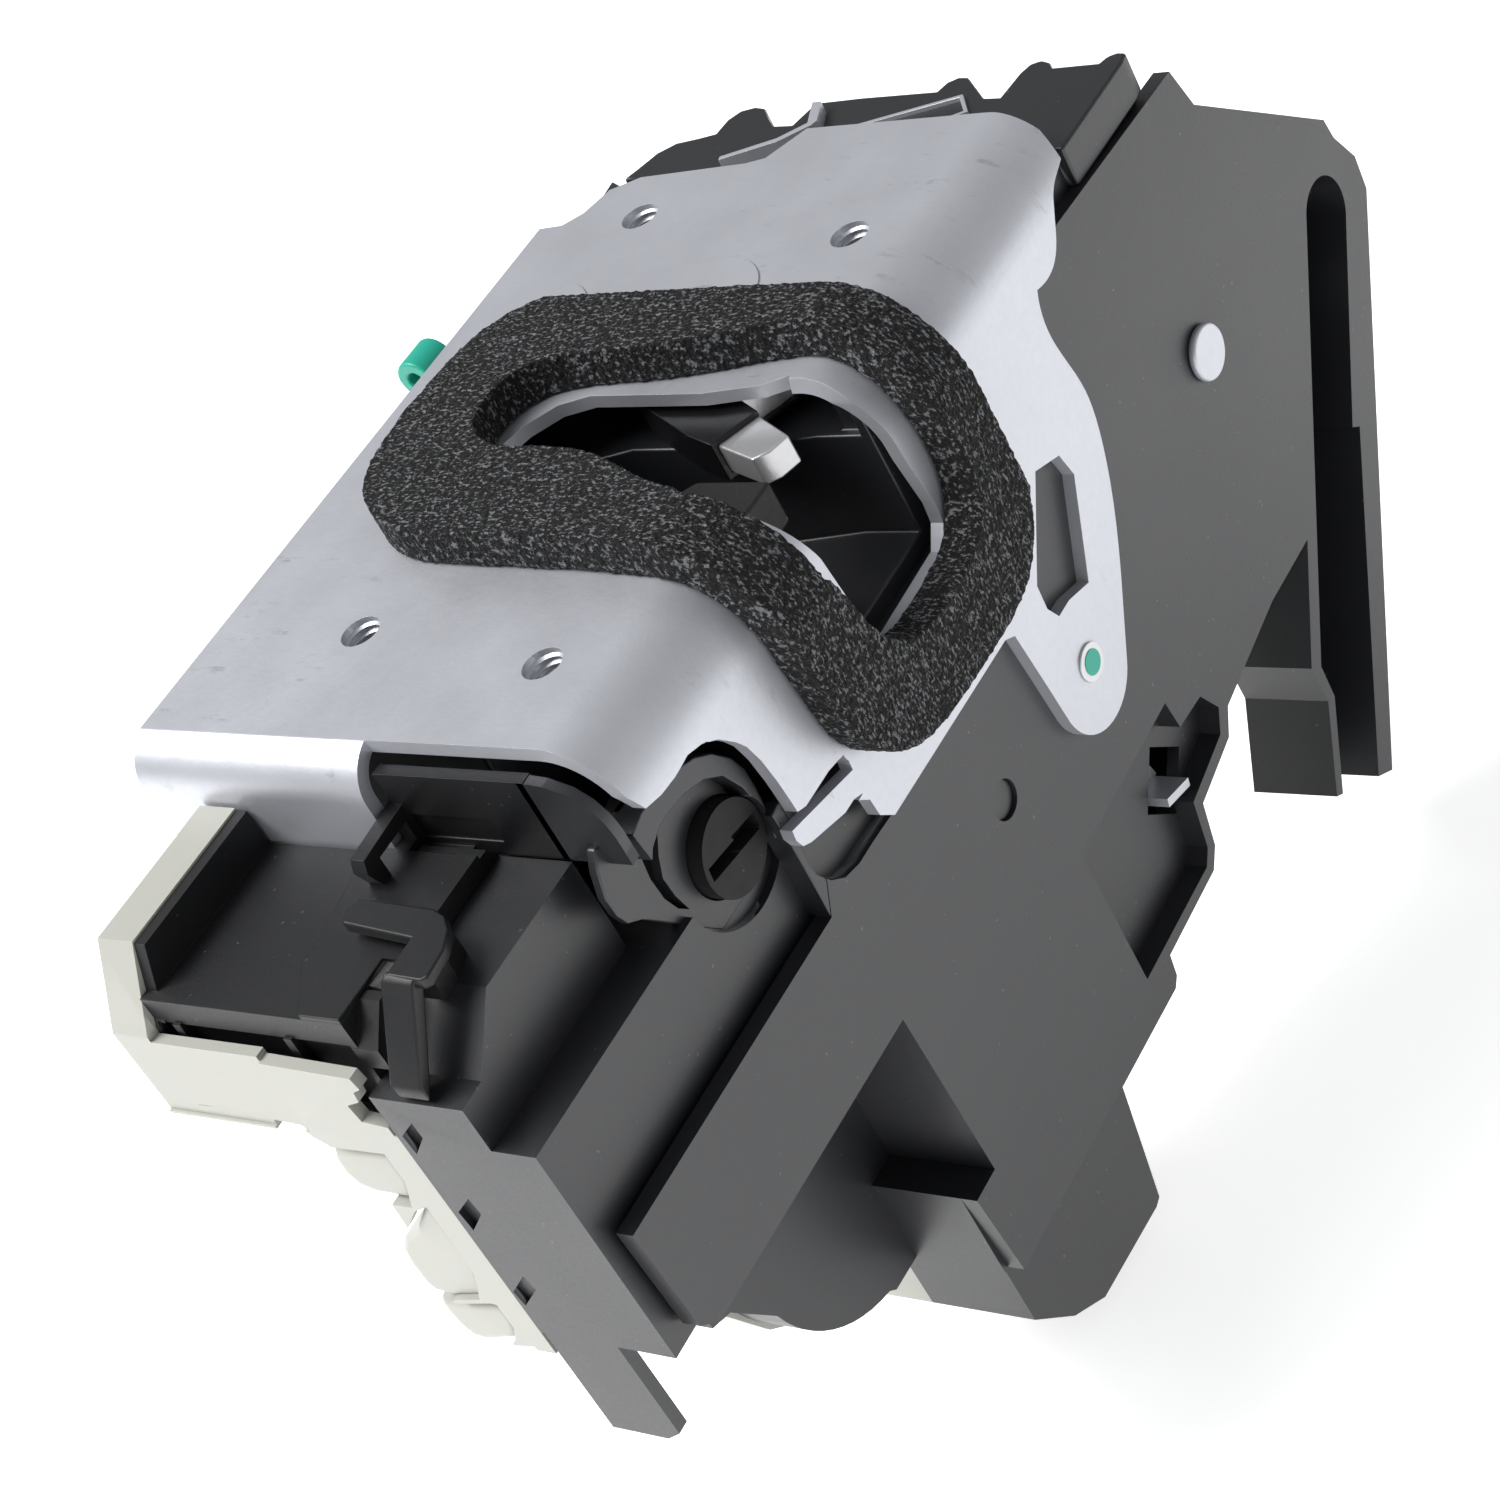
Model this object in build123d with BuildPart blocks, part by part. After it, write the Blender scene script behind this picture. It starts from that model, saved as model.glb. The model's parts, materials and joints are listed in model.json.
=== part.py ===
from build123d import *
from math import cos, radians, sin
import os

os.makedirs("parts", exist_ok=True)

# Datum: the origin is the latched striker's centre on the mounting face. Shapes are
# drawn from the plate's corner, where the face would meet the side flange.
striker_to_side = 30.0
striker_to_foot = 51.0

# Face plate of pressed steel
sheet = 1.8
plate_width = 71.2
plate_length = 112.0
bend_radius = 10.0
flange_drop = 66.0
foot_reach = 4.5
foot_drop = 13.2
foot_width = 36.4
foot_bend = 5.8
screw_hole_radius = 2.55
collar_radius = 3.9
collar_depth = 4.2
screw_places = [(-54.8, 94.0), (-17.5, 87.3), (-47.8, 17.0), (-17.0, 12.8)]
dome_radius = 9.0
dome_height = 0.25
flange_rivet_place = (72.4, -55.9)
flange_rivet_radius = 1.7

# Rod clip
clip_level = -1.9
clip_radius = 2.9
clip_bore = 1.2

# Foam seal
foam_gap = 0.3
foam_thickness = 5.2

# Latch mechanism
claw_pivot = (-34.5, 75.0)
pawl_pivot = (-60.0, 72.0)
claw_tilt = 10.6
claw_swing = 50.0
pawl_lift = 12.0
pin_radius = 5.0
pin_head = 0.8
spigot_radius = 3.5
running_gap = 0.05
claw_face = -3.6
claw_thickness = 4.0
jacket_skin = 0.8
hub_radius = 12.0
tooth_radius = 16.0
slot_width = 11.0
chamber_floor = -9.2
well_floor = -20.0
claw_well_radius = 10.5
pawl_well_radius = 7.6
spring_wire = 1.2
housing_side = -4.2
housing_back = -28.0
back_plate_thickness = 2.0
rear_face = housing_back - back_plate_thickness
lever_sheet = 2.0
lever_top = rear_face - 0.9

# Side housing: its levels are measured inwards from the flange's outer face
panel_face = -1.8
panel_thickness = 2.4
panel_back = panel_face - panel_thickness
recess_face = -5.0
shelf_face = -11.3
drum_face = -17.6
box_face = -9.0
parting = -25.0
cover_back = -38.0
cover_top = rear_face - 1.2
wall = 1.8
end_wall = -31.8
pocket_floor = -5.0

# Working parts on the side housing
rivet_place = (119.9, -45.9)
rivet_radius = 2.5
rivet_head_radius = 3.8
lock_pivot = (49.9, -57.5)
lock_pin_radius = 2.6
disc_place = (11.8, -26.7)
disc_radius = 5.7
disc_face = -4.0
disc_depth = 7.0
wheel_place = (12.0, -81.5)
wheel_radius = 16.0
wheel_face = -20.0
wheel_thickness = 6.0
worm_radius = 3.2
worm_y = wheel_place[0] + wheel_radius + worm_radius + 0.4
worm_x = -23.0
motor_top = -101.2
motor_length = 17.5
motor_radius = 8.8
motor_flat = 6.5
shaft_radius = 1.0


def face_plane(z):
    """Plane parallel to the mounting face, with its origin over the plate's corner."""
    return Plane(origin=(striker_to_side, -striker_to_foot, z))


def side_plane(x):
    """Plane parallel to the side flange, drawn in lengthwise and depth directions."""
    return Plane(origin=(striker_to_side + x, -striker_to_foot, 0), x_dir=(0, 1, 0), z_dir=(1, 0, 0))


def end_plane(y):
    """Plane across the plate's length, facing its foot."""
    return Plane(origin=(striker_to_side, y - striker_to_foot, 0), x_dir=(1, 0, 0), z_dir=(0, -1, 0))


def pivot_plane(pivot, z, turn=0.0):
    """Plane parallel to the mounting face, centred on a pivot and turned about it."""
    x = striker_to_side + pivot[0]
    y = pivot[1] - striker_to_foot
    return Plane(origin=(x, y, z), x_dir=(cos(radians(turn)), sin(radians(turn)), 0), z_dir=(0, 0, 1))


def guide_plane(x):
    """Plane parallel to the side flange, turned so that its second axis runs up the cable guide."""
    return Plane(origin=(striker_to_side + x, -striker_to_foot, 0), x_dir=(0, 0.8, -0.6), z_dir=(1, 0, 0))


def save(part, label):
    """Name a finished part and write it out."""
    part.label = label
    export_step(part, f"parts/{label}.step")


# Face plate: one strip bent down along the side, with a foot bent down at the end
with BuildPart() as face_plate:
    with BuildSketch(end_plane(0)):
        with BuildLine():
            FilletPolyline((-plate_width, 0), (0, 0), (0, -flange_drop), radius=bend_radius)
            offset(amount=sheet, side=Side.RIGHT)
        make_face()
    extrude(amount=-plate_length)
    with BuildSketch(face_plane(1)):
        Polygon((-plate_width, 0), (2, 0), (2, 107), (-3, 110), (-7.5, 110.4), (-36.7, 111.6), (-38.7, 108.1),
                (-40.7, 104.6), (-43.5, 103.8), (-60.1, 102.6), (-64.0, 100.3), (-65.4, 95.6),
                (-67.6, 93.2), (-plate_width, 92.8), align=None)
    extrude(amount=-flange_drop - 2, mode=Mode.INTERSECT)
    with BuildSketch(side_plane(1)):
        with BuildLine():
            Polyline((110.4, 0), (110.4, 2), (-1, 2), (-1, -4), (1.0, -9.2), (5.0, -10.2), (9.3, -9.9),
                     (12.7, -10.9), (15.5, -13.6), (16.2, -18.7), (16.3, -28.4), (29.0, -29.0), (29.3, -31.0),
                     (16.9, -31.6), (17.4, -33.0), (26.5, -33.8), (29.2, -36.4), (29.4, -39.1),
                     (31.4, -41.1), (60.8, -41.3), (62.6, -42.3), (63.7, -52.4), (64.3, -58.4))
            ThreePointArc((64.3, -58.4), (70.0, -64.8), (78.6, -61.5))
            Spline((78.6, -61.5), (85.6, -51.0), (92.3, -37.1), (93.5, -30.1), (92.0, -20.2), (93.4, -14.4))
            Spline((93.4, -14.4), (100.5, -12.5), (104.3, -7.8), (109.7, -5.9), (110.4, 0))
        make_face()
    extrude(amount=-plate_width - 4, mode=Mode.INTERSECT)
    with BuildSketch(side_plane(-plate_width)):
        with BuildLine():
            FilletPolyline((2, 0), (-foot_reach, 0), (-foot_reach, -foot_drop), radius=foot_bend)
            offset(amount=sheet, side=Side.LEFT)
        make_face()
    extrude(amount=foot_width)
    with BuildSketch(face_plane(0)):
        with Locations(claw_pivot, pawl_pivot):
            Circle(dome_radius)
    extrude(amount=dome_height)
    with BuildSketch(face_plane(-sheet)):
        with Locations(*screw_places):
            Circle(collar_radius)
    extrude(amount=sheet - collar_depth)
    with BuildSketch(face_plane(1)):
        Polygon((-bend_radius - 1, 60.9), (-14.4, 59.2), (-22.6, 58.0), (-39.8, 58.2), (-43.9, 56.6),
                (-46.8, 53.0), (-48.0, 49.6), (-46.0, 46.0), (-41.0, 44.3), (-24.0, 43.5),
                (-bend_radius - 1, 38.9), align=None)
    extrude(amount=-sheet - 2, mode=Mode.SUBTRACT)
    with BuildSketch(side_plane(1)):
        Polygon((61.0, 2.0), (59.3, -3.0), (59.8, -12.0), (60.9, -19.5), (60.6, -22.4), (58.4, -24.9),
                (44.0, -25.3), (41.8, -21.0), (40.6, -9.9), (38.6, -2.2), (38.4, 2.0), align=None)
    extrude(amount=-bend_radius - 2, mode=Mode.SUBTRACT)
    with BuildSketch(side_plane(1)):
        Polygon((78.8, -30.4), (83.9, -32.3), (84.9, -36.2), (78.6, -48.3), (74.0, -47.0), (71.1, -47.0),
                (69.8, -44.6), (70.0, -41.0), align=None)
        with Locations(flange_rivet_place):
            Circle(flange_rivet_radius)
    extrude(amount=-sheet - 2, mode=Mode.SUBTRACT)
    with BuildSketch(face_plane(1)):
        with Locations(*screw_places):
            Circle(screw_hole_radius)
        with Locations(claw_pivot, pawl_pivot):
            Circle(spigot_radius)
    extrude(amount=-collar_depth - 2, mode=Mode.SUBTRACT)
save(face_plate.part, "face_plate")

# Foam seal: a ring round the mouth that wraps over the bend
with BuildPart() as foam_seal:
    with BuildSketch(end_plane(0)):
        with BuildLine():
            FilletPolyline((-plate_width, foam_gap), (foam_gap, foam_gap), (foam_gap, -flange_drop),
                           radius=bend_radius + foam_gap)
            offset(amount=foam_thickness, side=Side.LEFT)
        make_face()
    extrude(amount=-plate_length)
    with BuildSketch(face_plane(9)):
        with BuildLine():
            seal_edge = Spline((8, 71.2), (-4.0, 71.4), (-14.1, 73.0), (-27.3, 74.7), (-40.4, 75.3),
                               (-47.5, 74.0), (-53.2, 70.9), (-58.4, 65.6), (-60.6, 57.3), (-61.0, 48.9),
                               (-60.4, 42.4), (-58.6, 36.9), (-54.0, 31.9), (-48.2, 28.9), (-41.2, 28.0),
                               (-25.0, 27.4), (-14.5, 26.7), (-6.0, 25.9), (8, 25.9))
            Line(seal_edge @ 1, seal_edge @ 0)
        make_face()
    extrude(amount=-80, mode=Mode.INTERSECT)
    with BuildSketch(face_plane(9)):
        with BuildLine():
            bore_edge = Spline((8, 62.3), (-2.0, 63.0), (-12.0, 63.6), (-18.6, 62.4), (-26.0, 60.9),
                               (-36.0, 59.9), (-42.0, 59.3), (-47.4, 56.6), (-48.9, 52.0), (-46.4, 45.6),
                               (-40.3, 43.2), (-33.8, 42.9), (-27.1, 42.0), (-17.9, 38.3), (-10.9, 35.8),
                               (-3.0, 34.9), (8, 34.9))
            Line(bore_edge @ 1, bore_edge @ 0)
        make_face()
    extrude(amount=-17, mode=Mode.SUBTRACT)
    with BuildSketch(side_plane(9)):
        with BuildLine():
            seal_side = Spline((71.2, 8), (71.2, 0.0), (71.2, -7.1), (72.3, -14.5), (71.7, -22.8),
                               (69.0, -29.2), (64.5, -33.4), (57.9, -35.1), (50.0, -35.2), (43.1, -34.9),
                               (36.6, -33.8), (31.3, -30.6), (28.4, -26.1), (27.4, -21.4), (26.8, -15.0),
                               (26.1, -6.0), (25.9, 0.0), (25.9, 8))
            Line(seal_side @ 1, seal_side @ 0)
        make_face()
    extrude(amount=-90, mode=Mode.INTERSECT)
    with BuildSketch(side_plane(9)):
        with BuildLine():
            bore_side = Spline((62.3, 8), (62.4, 0.0), (62.9, -10.0), (62.6, -18.0), (59.2, -22.8),
                               (53.0, -24.1), (46.5, -24.3), (41.6, -22.8), (38.1, -18.4), (36.3, -11.8),
                               (35.1, -6.2), (34.9, 0.0), (34.9, 8))
            Line(bore_side @ 1, bore_side @ 0)
        make_face()
    extrude(amount=-18, mode=Mode.SUBTRACT)
save(foam_seal.part, "foam_seal")

# Latch housing: a moulded block behind the face plate, hollowed for the claw and the pawl
with BuildPart() as latch_housing:
    with BuildSketch(face_plane(-sheet)):
        Polygon((-69.0, 3.0), (-22.0, 3.0), (-22.0, 22.0), (housing_side, 22.0), (housing_side, 96.0),
                (-12.0, 101.0), (-58.0, 101.0), (-63.0, 94.0), (-69.0, 91.0), align=None)
    extrude(amount=housing_back + sheet)
    with BuildSketch(end_plane(0)):
        Polygon((-bend_radius, -1), (-bend_radius, -sheet), (housing_side, -7.0), (2, -7.0), (2, -1), align=None)
    extrude(amount=-plate_length, mode=Mode.SUBTRACT)
    with BuildSketch(face_plane(-sheet)):
        with Locations(claw_pivot):
            Circle(29.0)
        with Locations(pawl_pivot):
            Circle(8.0)
        Polygon((-60.0, 79.9), (-67.9, 72.0), (-50.0, 62.0), (-30.0, 62.0), (-30.0, 96.5), (-48.0, 96.5),
                align=None)
    extrude(amount=chamber_floor + sheet, mode=Mode.SUBTRACT)
    with BuildSketch(face_plane(-sheet)):
        with Locations(claw_pivot):
            Circle(34.5)
        Polygon((-64.0, 35.0), (-5.7, 35.0), (-5.7, 62.0), (-64.0, 62.0), align=None, mode=Mode.INTERSECT)
    extrude(amount=chamber_floor + sheet, mode=Mode.SUBTRACT)
    with BuildSketch(face_plane(-sheet)):
        Polygon((2, 38.2), (-10.0, 38.4), (-24.0, 43.3), (-41.0, 44.0), (-46.5, 46.0), (-48.2, 49.6),
                (-46.8, 54.0), (-43.0, 57.6), (-39.0, 59.0), (-22.0, 59.0), (-12.0, 60.8), (2, 61.0), align=None)
    extrude(amount=sheet - 24.0, mode=Mode.SUBTRACT)
    with BuildSketch(face_plane(chamber_floor)):
        with Locations(claw_pivot):
            Circle(claw_well_radius)
        with Locations(pawl_pivot):
            Circle(pawl_well_radius)
    extrude(amount=well_floor - chamber_floor, mode=Mode.SUBTRACT)
    with BuildSketch(face_plane(well_floor)):
        with Locations(claw_pivot, pawl_pivot):
            Circle(pin_radius)
    extrude(amount=housing_back - well_floor, mode=Mode.SUBTRACT)
    with BuildSketch(face_plane(-sheet)):
        with Locations(*screw_places[:3]):
            Circle(collar_radius + 0.4)
    extrude(amount=sheet - 14.0, mode=Mode.SUBTRACT)
save(latch_housing.part, "latch_housing")

with BuildPart() as back_plate:
    with BuildSketch(face_plane(housing_back)):
        Polygon((-68.0, 8.0), (-25.5, 8.0), (-25.5, 25.0), (-7.0, 30.0), (-7.0, 94.0), (-14.0, 99.0),
                (-56.0, 99.0), (-62.0, 92.0), (-68.0, 89.0), align=None)
        with Locations(claw_pivot, pawl_pivot):
            Circle(spigot_radius, mode=Mode.SUBTRACT)
    extrude(amount=-back_plate_thickness)
save(back_plate.part, "back_plate")


def pivot_pin(pivot, tail, label):
    """Shouldered pin that ties the face plate to the back plate through a pivot."""
    with BuildPart() as pin:
        with BuildSketch(pivot_plane(pivot, housing_back)):
            Circle(pin_radius)
        extrude(amount=-sheet - housing_back)
        with BuildSketch(pivot_plane(pivot, dome_height)):
            Circle(spigot_radius)
        extrude(amount=tail - dome_height)
        with BuildSketch(pivot_plane(pivot, rear_face)):
            Circle(spigot_radius + 1.0)
        extrude(amount=-pin_head)
        with BuildSketch(pivot_plane(pivot, tail)):
            Circle(spigot_radius + 1.0)
        extrude(amount=-pin_head)
    save(pin.part, label)


pivot_pin(claw_pivot, rear_face, "claw_pin")
pivot_pin(pawl_pivot, lever_top - lever_sheet - 0.1, "pawl_pin")

# Claw: a forked steel plate in a moulded jacket, drawn latched and placed open
claw_turn = claw_tilt + claw_swing
inner_leg = [(-12.5, -6.0), (-12.3, -20.0), (-10.6, -31.4), (-8.6, -32.2), (-5.5, -31.8), (-5.5, -6.0)]
hook_leg = [(5.5, -6.0), (5.5, -25.6), (7.4, -27.2), (10.6, -26.0), (12.4, -20.0), (12.8, -6.0)]
tooth = [(-2.2, 11.0), (-2.8, 15.75), (-7.0, 14.38), (-5.0, 10.0)]

with BuildPart() as claw_core:
    with BuildSketch(pivot_plane(claw_pivot, claw_face, claw_turn)):
        Circle(hub_radius)
        Polygon(*inner_leg, align=None)
        Polygon(*hook_leg, align=None)
        Polygon(*tooth, align=None)
        Polygon((-5.5, -19.0), (-5.5, -6.0), (5.5, -6.0), (5.5, -19.0), align=None)
        with Locations((0, -24.4)):
            Circle(slot_width / 2, mode=Mode.SUBTRACT)
        Circle(pin_radius + running_gap, mode=Mode.SUBTRACT)
    extrude(amount=-claw_thickness)
save(claw_core.part, "claw_core")

with BuildPart() as claw_jacket:
    with BuildSketch(pivot_plane(claw_pivot, claw_face + jacket_skin, claw_turn)):
        Circle(hub_radius + jacket_skin)
        Polygon((-13.3, -6.0), (-13.1, -20.0), (-12.4, -24.6), (-5.5, -24.6), (-5.5, -6.0), align=None)
        Polygon((5.5, -6.0), (5.5, -23.6), (12.2, -23.6), (13.2, -20.0), (13.6, -6.0), align=None)
        Polygon((-5.5, -19.0), (-5.5, -6.0), (5.5, -6.0), (5.5, -19.0), align=None)
        with Locations((0, -24.4)):
            Circle(slot_width / 2, mode=Mode.SUBTRACT)
        Circle(pin_radius + running_gap, mode=Mode.SUBTRACT)
    extrude(amount=-claw_thickness - 2 * jacket_skin)
    add(claw_core.part, mode=Mode.SUBTRACT)
    with BuildSketch(pivot_plane(claw_pivot, claw_face + 2, claw_turn)):
        Polygon((-1.6, 10.6), (-2.0, 16.5), (-9.4, 16.0), (-7.4, 9.0), align=None)
    extrude(amount=-10, mode=Mode.SUBTRACT)
save(claw_jacket.part, "claw_jacket")

# Pawl: drawn holding the claw's tooth and placed lifted clear of it
with BuildPart() as pawl:
    with BuildSketch(pivot_plane(pawl_pivot, claw_face, pawl_lift)):
        Circle(6.6)
        Polygon((-2.0, 6.4), (13.6, 16.8), (16.0, 15.8), (17.45, 13.6), (15.0, 12.7), (11.0, 10.9), (9.0, 9.6),
                (7.6, 4.6), (5.2, -4.0), align=None)
        Circle(pin_radius + running_gap, mode=Mode.SUBTRACT)
    extrude(amount=-claw_thickness)
save(pawl.part, "pawl")


def coil_spring(pivot, coil_radius, top, turns, label):
    """Closely wound torsion spring round a pivot pin."""
    pitch = spring_wire + 0.5
    with BuildPart() as spring:
        with BuildLine(pivot_plane(pivot, top - turns * pitch)) as coil:
            Helix(pitch, turns * pitch, coil_radius)
        with BuildSketch(coil.line ^ 0):
            Circle(spring_wire / 2)
        sweep(is_frenet=True)
    save(spring.part, label)


coil_spring(claw_pivot, claw_well_radius - 0.9, -10.0, 4, "claw_spring")
coil_spring(pawl_pivot, pawl_well_radius - 0.9, -10.0, 4, "pawl_spring")

with BuildPart() as mouth_bumper:
    with BuildSketch(face_plane(-2.6)):
        Polygon((-20.0, 42.0), (-17.0, 45.6), (-6.4, 45.6), (-6.4, 38.5), (-10.0, 38.5), align=None)
    extrude(amount=-6.0)
save(mouth_bumper.part, "mouth_bumper")

# Main housing: a side panel with the gear case, the drum, the motor case and the cable guide
panel_edge = [(-29.5, -43.0), (16.9, -43.0), (19.1, -39.2), (18.6, -33.5), (18.9, -26.4), (93.0, -26.4),
              (93.0, -14.6), (104.0, -12.7), (136.8, -14.0), (138.9, -20.7), (164.3, -42.1), (166.0, -50.7),
              (166.8, -55.6), (151.5, -62.0), (136.2, -73.2), (134.7, -72.2), (126.0, -83.7), (124.3, -82.2),
              (111.7, -82.2), (94.4, -84.9), (91.9, -88.2), (81.6, -90.2), (80.1, -96.5), (77.7, -98.8),
              (63.0, -99.3), (62.4, -102.5), (61.1, -103.6), (14.7, -103.8), (13.8, -89.6),
              (18.8, -89.6), (18.3, -61.9), (-26.5, -61.5), (-29.0, -59.1)]
upper_case = [(19.5, rear_face), (147.0, rear_face), (153.0, -43.4), (124.3, -82.2), (111.7, -82.2),
              (94.4, -84.9), (91.9, -88.2), (81.6, -90.2), (80.1, -96.5), (77.7, -98.8), (63.0, -99.3),
              (62.4, -102.5), (61.1, -103.6), (13.8, -103.8), (13.8, -89.6), (18.8, -89.6), (18.8, -61.9),
              (19.5, -61.9)]
upper_hollow = [(21.3, rear_face - wall), (146.0, rear_face - wall), (150.5, -43.8), (123.6, -80.4),
                (110.0, -80.4), (93.4, -83.2), (90.8, -86.2), (79.8, -88.6), (78.2, -95.8), (76.8, -97.0),
                (61.2, -97.5), (60.4, -101.8), (20.5, -102.0), (20.5, -61.9), (21.3, -61.9)]
lower_case = [(end_wall, -28.0), (20.5, -28.0), (20.5, -62.0), (end_wall, -62.0)]
shelf = [(-2.5, -14.6), (-20.7, -14.6), (-27.8, -21.4), (end_wall, -21.5), (end_wall, -29.0), (-2.5, -29.0)]
motor_case = [(17.9, -103.0), (18.0, -119.7), (24.1, -126.6), (30.2, -130.4), (46.1, -131.2),
              (47.4, -130.7), (51.1, -113.0), (51.1, -103.0)]
motor_hollow = [(19.7, -101.0), (19.8, -119.0), (25.2, -125.2), (30.8, -128.6), (46.0, -129.3),
                (49.3, -112.6), (49.3, -101.0)]
pocket = [(57.2, -74.7), (78.0, -74.0), (83.5, -73.8), (84.1, -78.7), (90.2, -79.1), (92.6, -83.4),
          (90.6, -86.4), (80.0, -88.4), (78.6, -95.4), (76.8, -97.2), (57.2, -97.6)]
drum_outer = wheel_radius + 5.4
screw_posts = [(-8.0, -50.0), (45.0, -38.0), (95.0, -37.0), (108.0, -75.0), (54.0, -98.0)]
post_radius = 3.2
post_bore = 1.25
motor_ribs = [-104.0, -114.0]


def block(points, front, back, mode=Mode.ADD):
    """Prism through the points between two levels of the side housing."""
    with BuildSketch(side_plane(front)) as drawn:
        Polygon(*points, align=None)
    extrude(drawn.sketch, amount=back - front, mode=mode)


def rods(places, radius, front, back, mode=Mode.ADD):
    """Round posts or bores between two levels of the side housing."""
    with BuildSketch(side_plane(front)) as drawn:
        with Locations(*places):
            Circle(radius)
    extrude(drawn.sketch, amount=back - front, mode=mode)


with BuildPart() as main_housing:
    block(panel_edge, panel_face, panel_back)
    block(upper_case, panel_back, parting)
    block(lower_case, recess_face, parting)
    block(shelf, shelf_face, parting)
    block(motor_case, box_face, parting)
    rods([wheel_place], drum_outer, drum_face, parting)
    block([(-17.3, -61.9), (18.8, -61.9), (18.8, -103.8), (8.5, -103.4), (-8.2, -87.5), (-14.0, -79.4),
           (-17.3, -78.2)], drum_face, parting)
    rods([disc_place], disc_radius + 3.4, recess_face, recess_face - 11.0)
    with BuildSketch(end_plane(end_wall)):
        Polygon((-24.4, -62.0), (-13.5, -62.0), (-13.5, -78.0), (-16.0, -79.6), (-24.4, -79.6), align=None)
    extrude(amount=-wall)
    block(upper_hollow, panel_back, parting, Mode.SUBTRACT)
    block([(end_wall + wall, -31.0), (0.5, -31.0), (0.5, -37.5), (18.7, -37.5), (18.7, -60.2),
           (end_wall + wall, -60.2)], recess_face - wall, parting, Mode.SUBTRACT)
    block(motor_hollow, box_face - wall, parting, Mode.SUBTRACT)
    rods([wheel_place], drum_outer - wall, drum_face - wall, parting, Mode.SUBTRACT)
    block([(8.0, -62.5), (22.0, -62.5), (22.0, -102.0), (8.0, -102.0)], drum_face - wall, parting, Mode.SUBTRACT)
    with BuildSketch(side_plane(panel_back)):
        Polygon(*pocket, align=None)
        offset(amount=wall)
    extrude(amount=pocket_floor - wall - panel_back)
    block(pocket, panel_face, pocket_floor, Mode.SUBTRACT)
    with BuildSketch(side_plane(pocket_floor)):
        with Locations((80.2, -84.8)):
            Rectangle(8.8, 7.2, rotation=46)
    extrude(amount=-wall - 1, mode=Mode.SUBTRACT)
    rods([rivet_place, lock_pivot], lock_pin_radius + 2.4, panel_face, panel_back - 3.6)
    rods([rivet_place, lock_pivot], rivet_radius, panel_face, panel_back - 3.6, Mode.SUBTRACT)
    rods([lock_pivot], lock_pin_radius, panel_face, panel_back - 3.6, Mode.SUBTRACT)
    rods([disc_place], disc_radius + running_gap, panel_face, disc_face - disc_depth, Mode.SUBTRACT)
    rods([flange_rivet_place], flange_rivet_radius, panel_face, panel_back, Mode.SUBTRACT)
    rods([wheel_place], 2.0, drum_face - wall, drum_face - wall + 1.0, Mode.SUBTRACT)
    rods(screw_posts, post_radius, panel_back, parting)
    rods(screw_posts, post_bore, parting + 14.0, parting, Mode.SUBTRACT)
    for rib in motor_ribs:
        block([(19.0, rib), (49.0, rib), (49.0, rib - 1.6), (19.0, rib - 1.6)], box_face - wall, worm_x + motor_flat)
    block([(worm_y - 3, -59.5), (worm_y + 3, -59.5), (worm_y + 3, -63.5), (worm_y - 3, -63.5)], panel_back, parting)
    with BuildSketch(face_plane(-64.0)):
        with Locations((worm_x, worm_y)):
            Circle(shaft_radius + running_gap)
    extrude(amount=3.0, mode=Mode.SUBTRACT)
    with BuildSketch(guide_plane(panel_face)):
        Polygon((148.6, 62.0), (156.0, 64.0), (165.0, 60.0), (168.0, 55.6), (170.3, -26.0), (154.4, -27.5),
                (152.8, -14.0), (148.6, -9.0), align=None)
    extrude(amount=-13.2)
    with BuildSketch(guide_plane(panel_face)):
        with BuildLine():
            Polyline((151.2, 51.5), (151.2, -9.0), (154.6, -13.5), (156.2, -28.5), (166.4, -28.5), (164.0, 23.0),
                     (162.0, 23.0), (162.0, 51.5))
            ThreePointArc((162.0, 51.5), (156.6, 57.5), (151.2, 51.5))
        make_face()
    extrude(amount=-11.2, mode=Mode.SUBTRACT)
    with BuildSketch(guide_plane(panel_back)):
        with Locations((149.5, 36.0)):
            Rectangle(9.0, 32.0)
    extrude(amount=-6.6, mode=Mode.SUBTRACT)
save(main_housing.part, "main_housing")

# Rear cover: the pale shell behind the main housing, with the box round the tray
cover_edge = [(-14.0, cover_top), (146.0, cover_top), (152.0, -43.4), (124.3, -82.2),
              (111.7, -82.2), (94.4, -84.9), (80.1, -96.5), (77.7, -98.8), (62.4, -103.8), (51.1, -104.5),
              (51.1, -113.0), (47.4, -130.7), (30.2, -130.4), (18.0, -119.7), (17.9, -105.4), (8.5, -104.4),
              (1.0, -101.4), (-5.6, -95.2), (-9.6, -87.6), (-14.0, -80.4), (-14.0, -62.0)]
bulges = [(-32.0, -40.0), (-41.0, -57.0), (-58.0, -66.0)]
box_left = -62.4
tray_left = -56.6
tray_end = -16.0
floor_level = -12.7
tray_rim = -7.5
foot_clear = -foot_reach - 0.4

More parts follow.
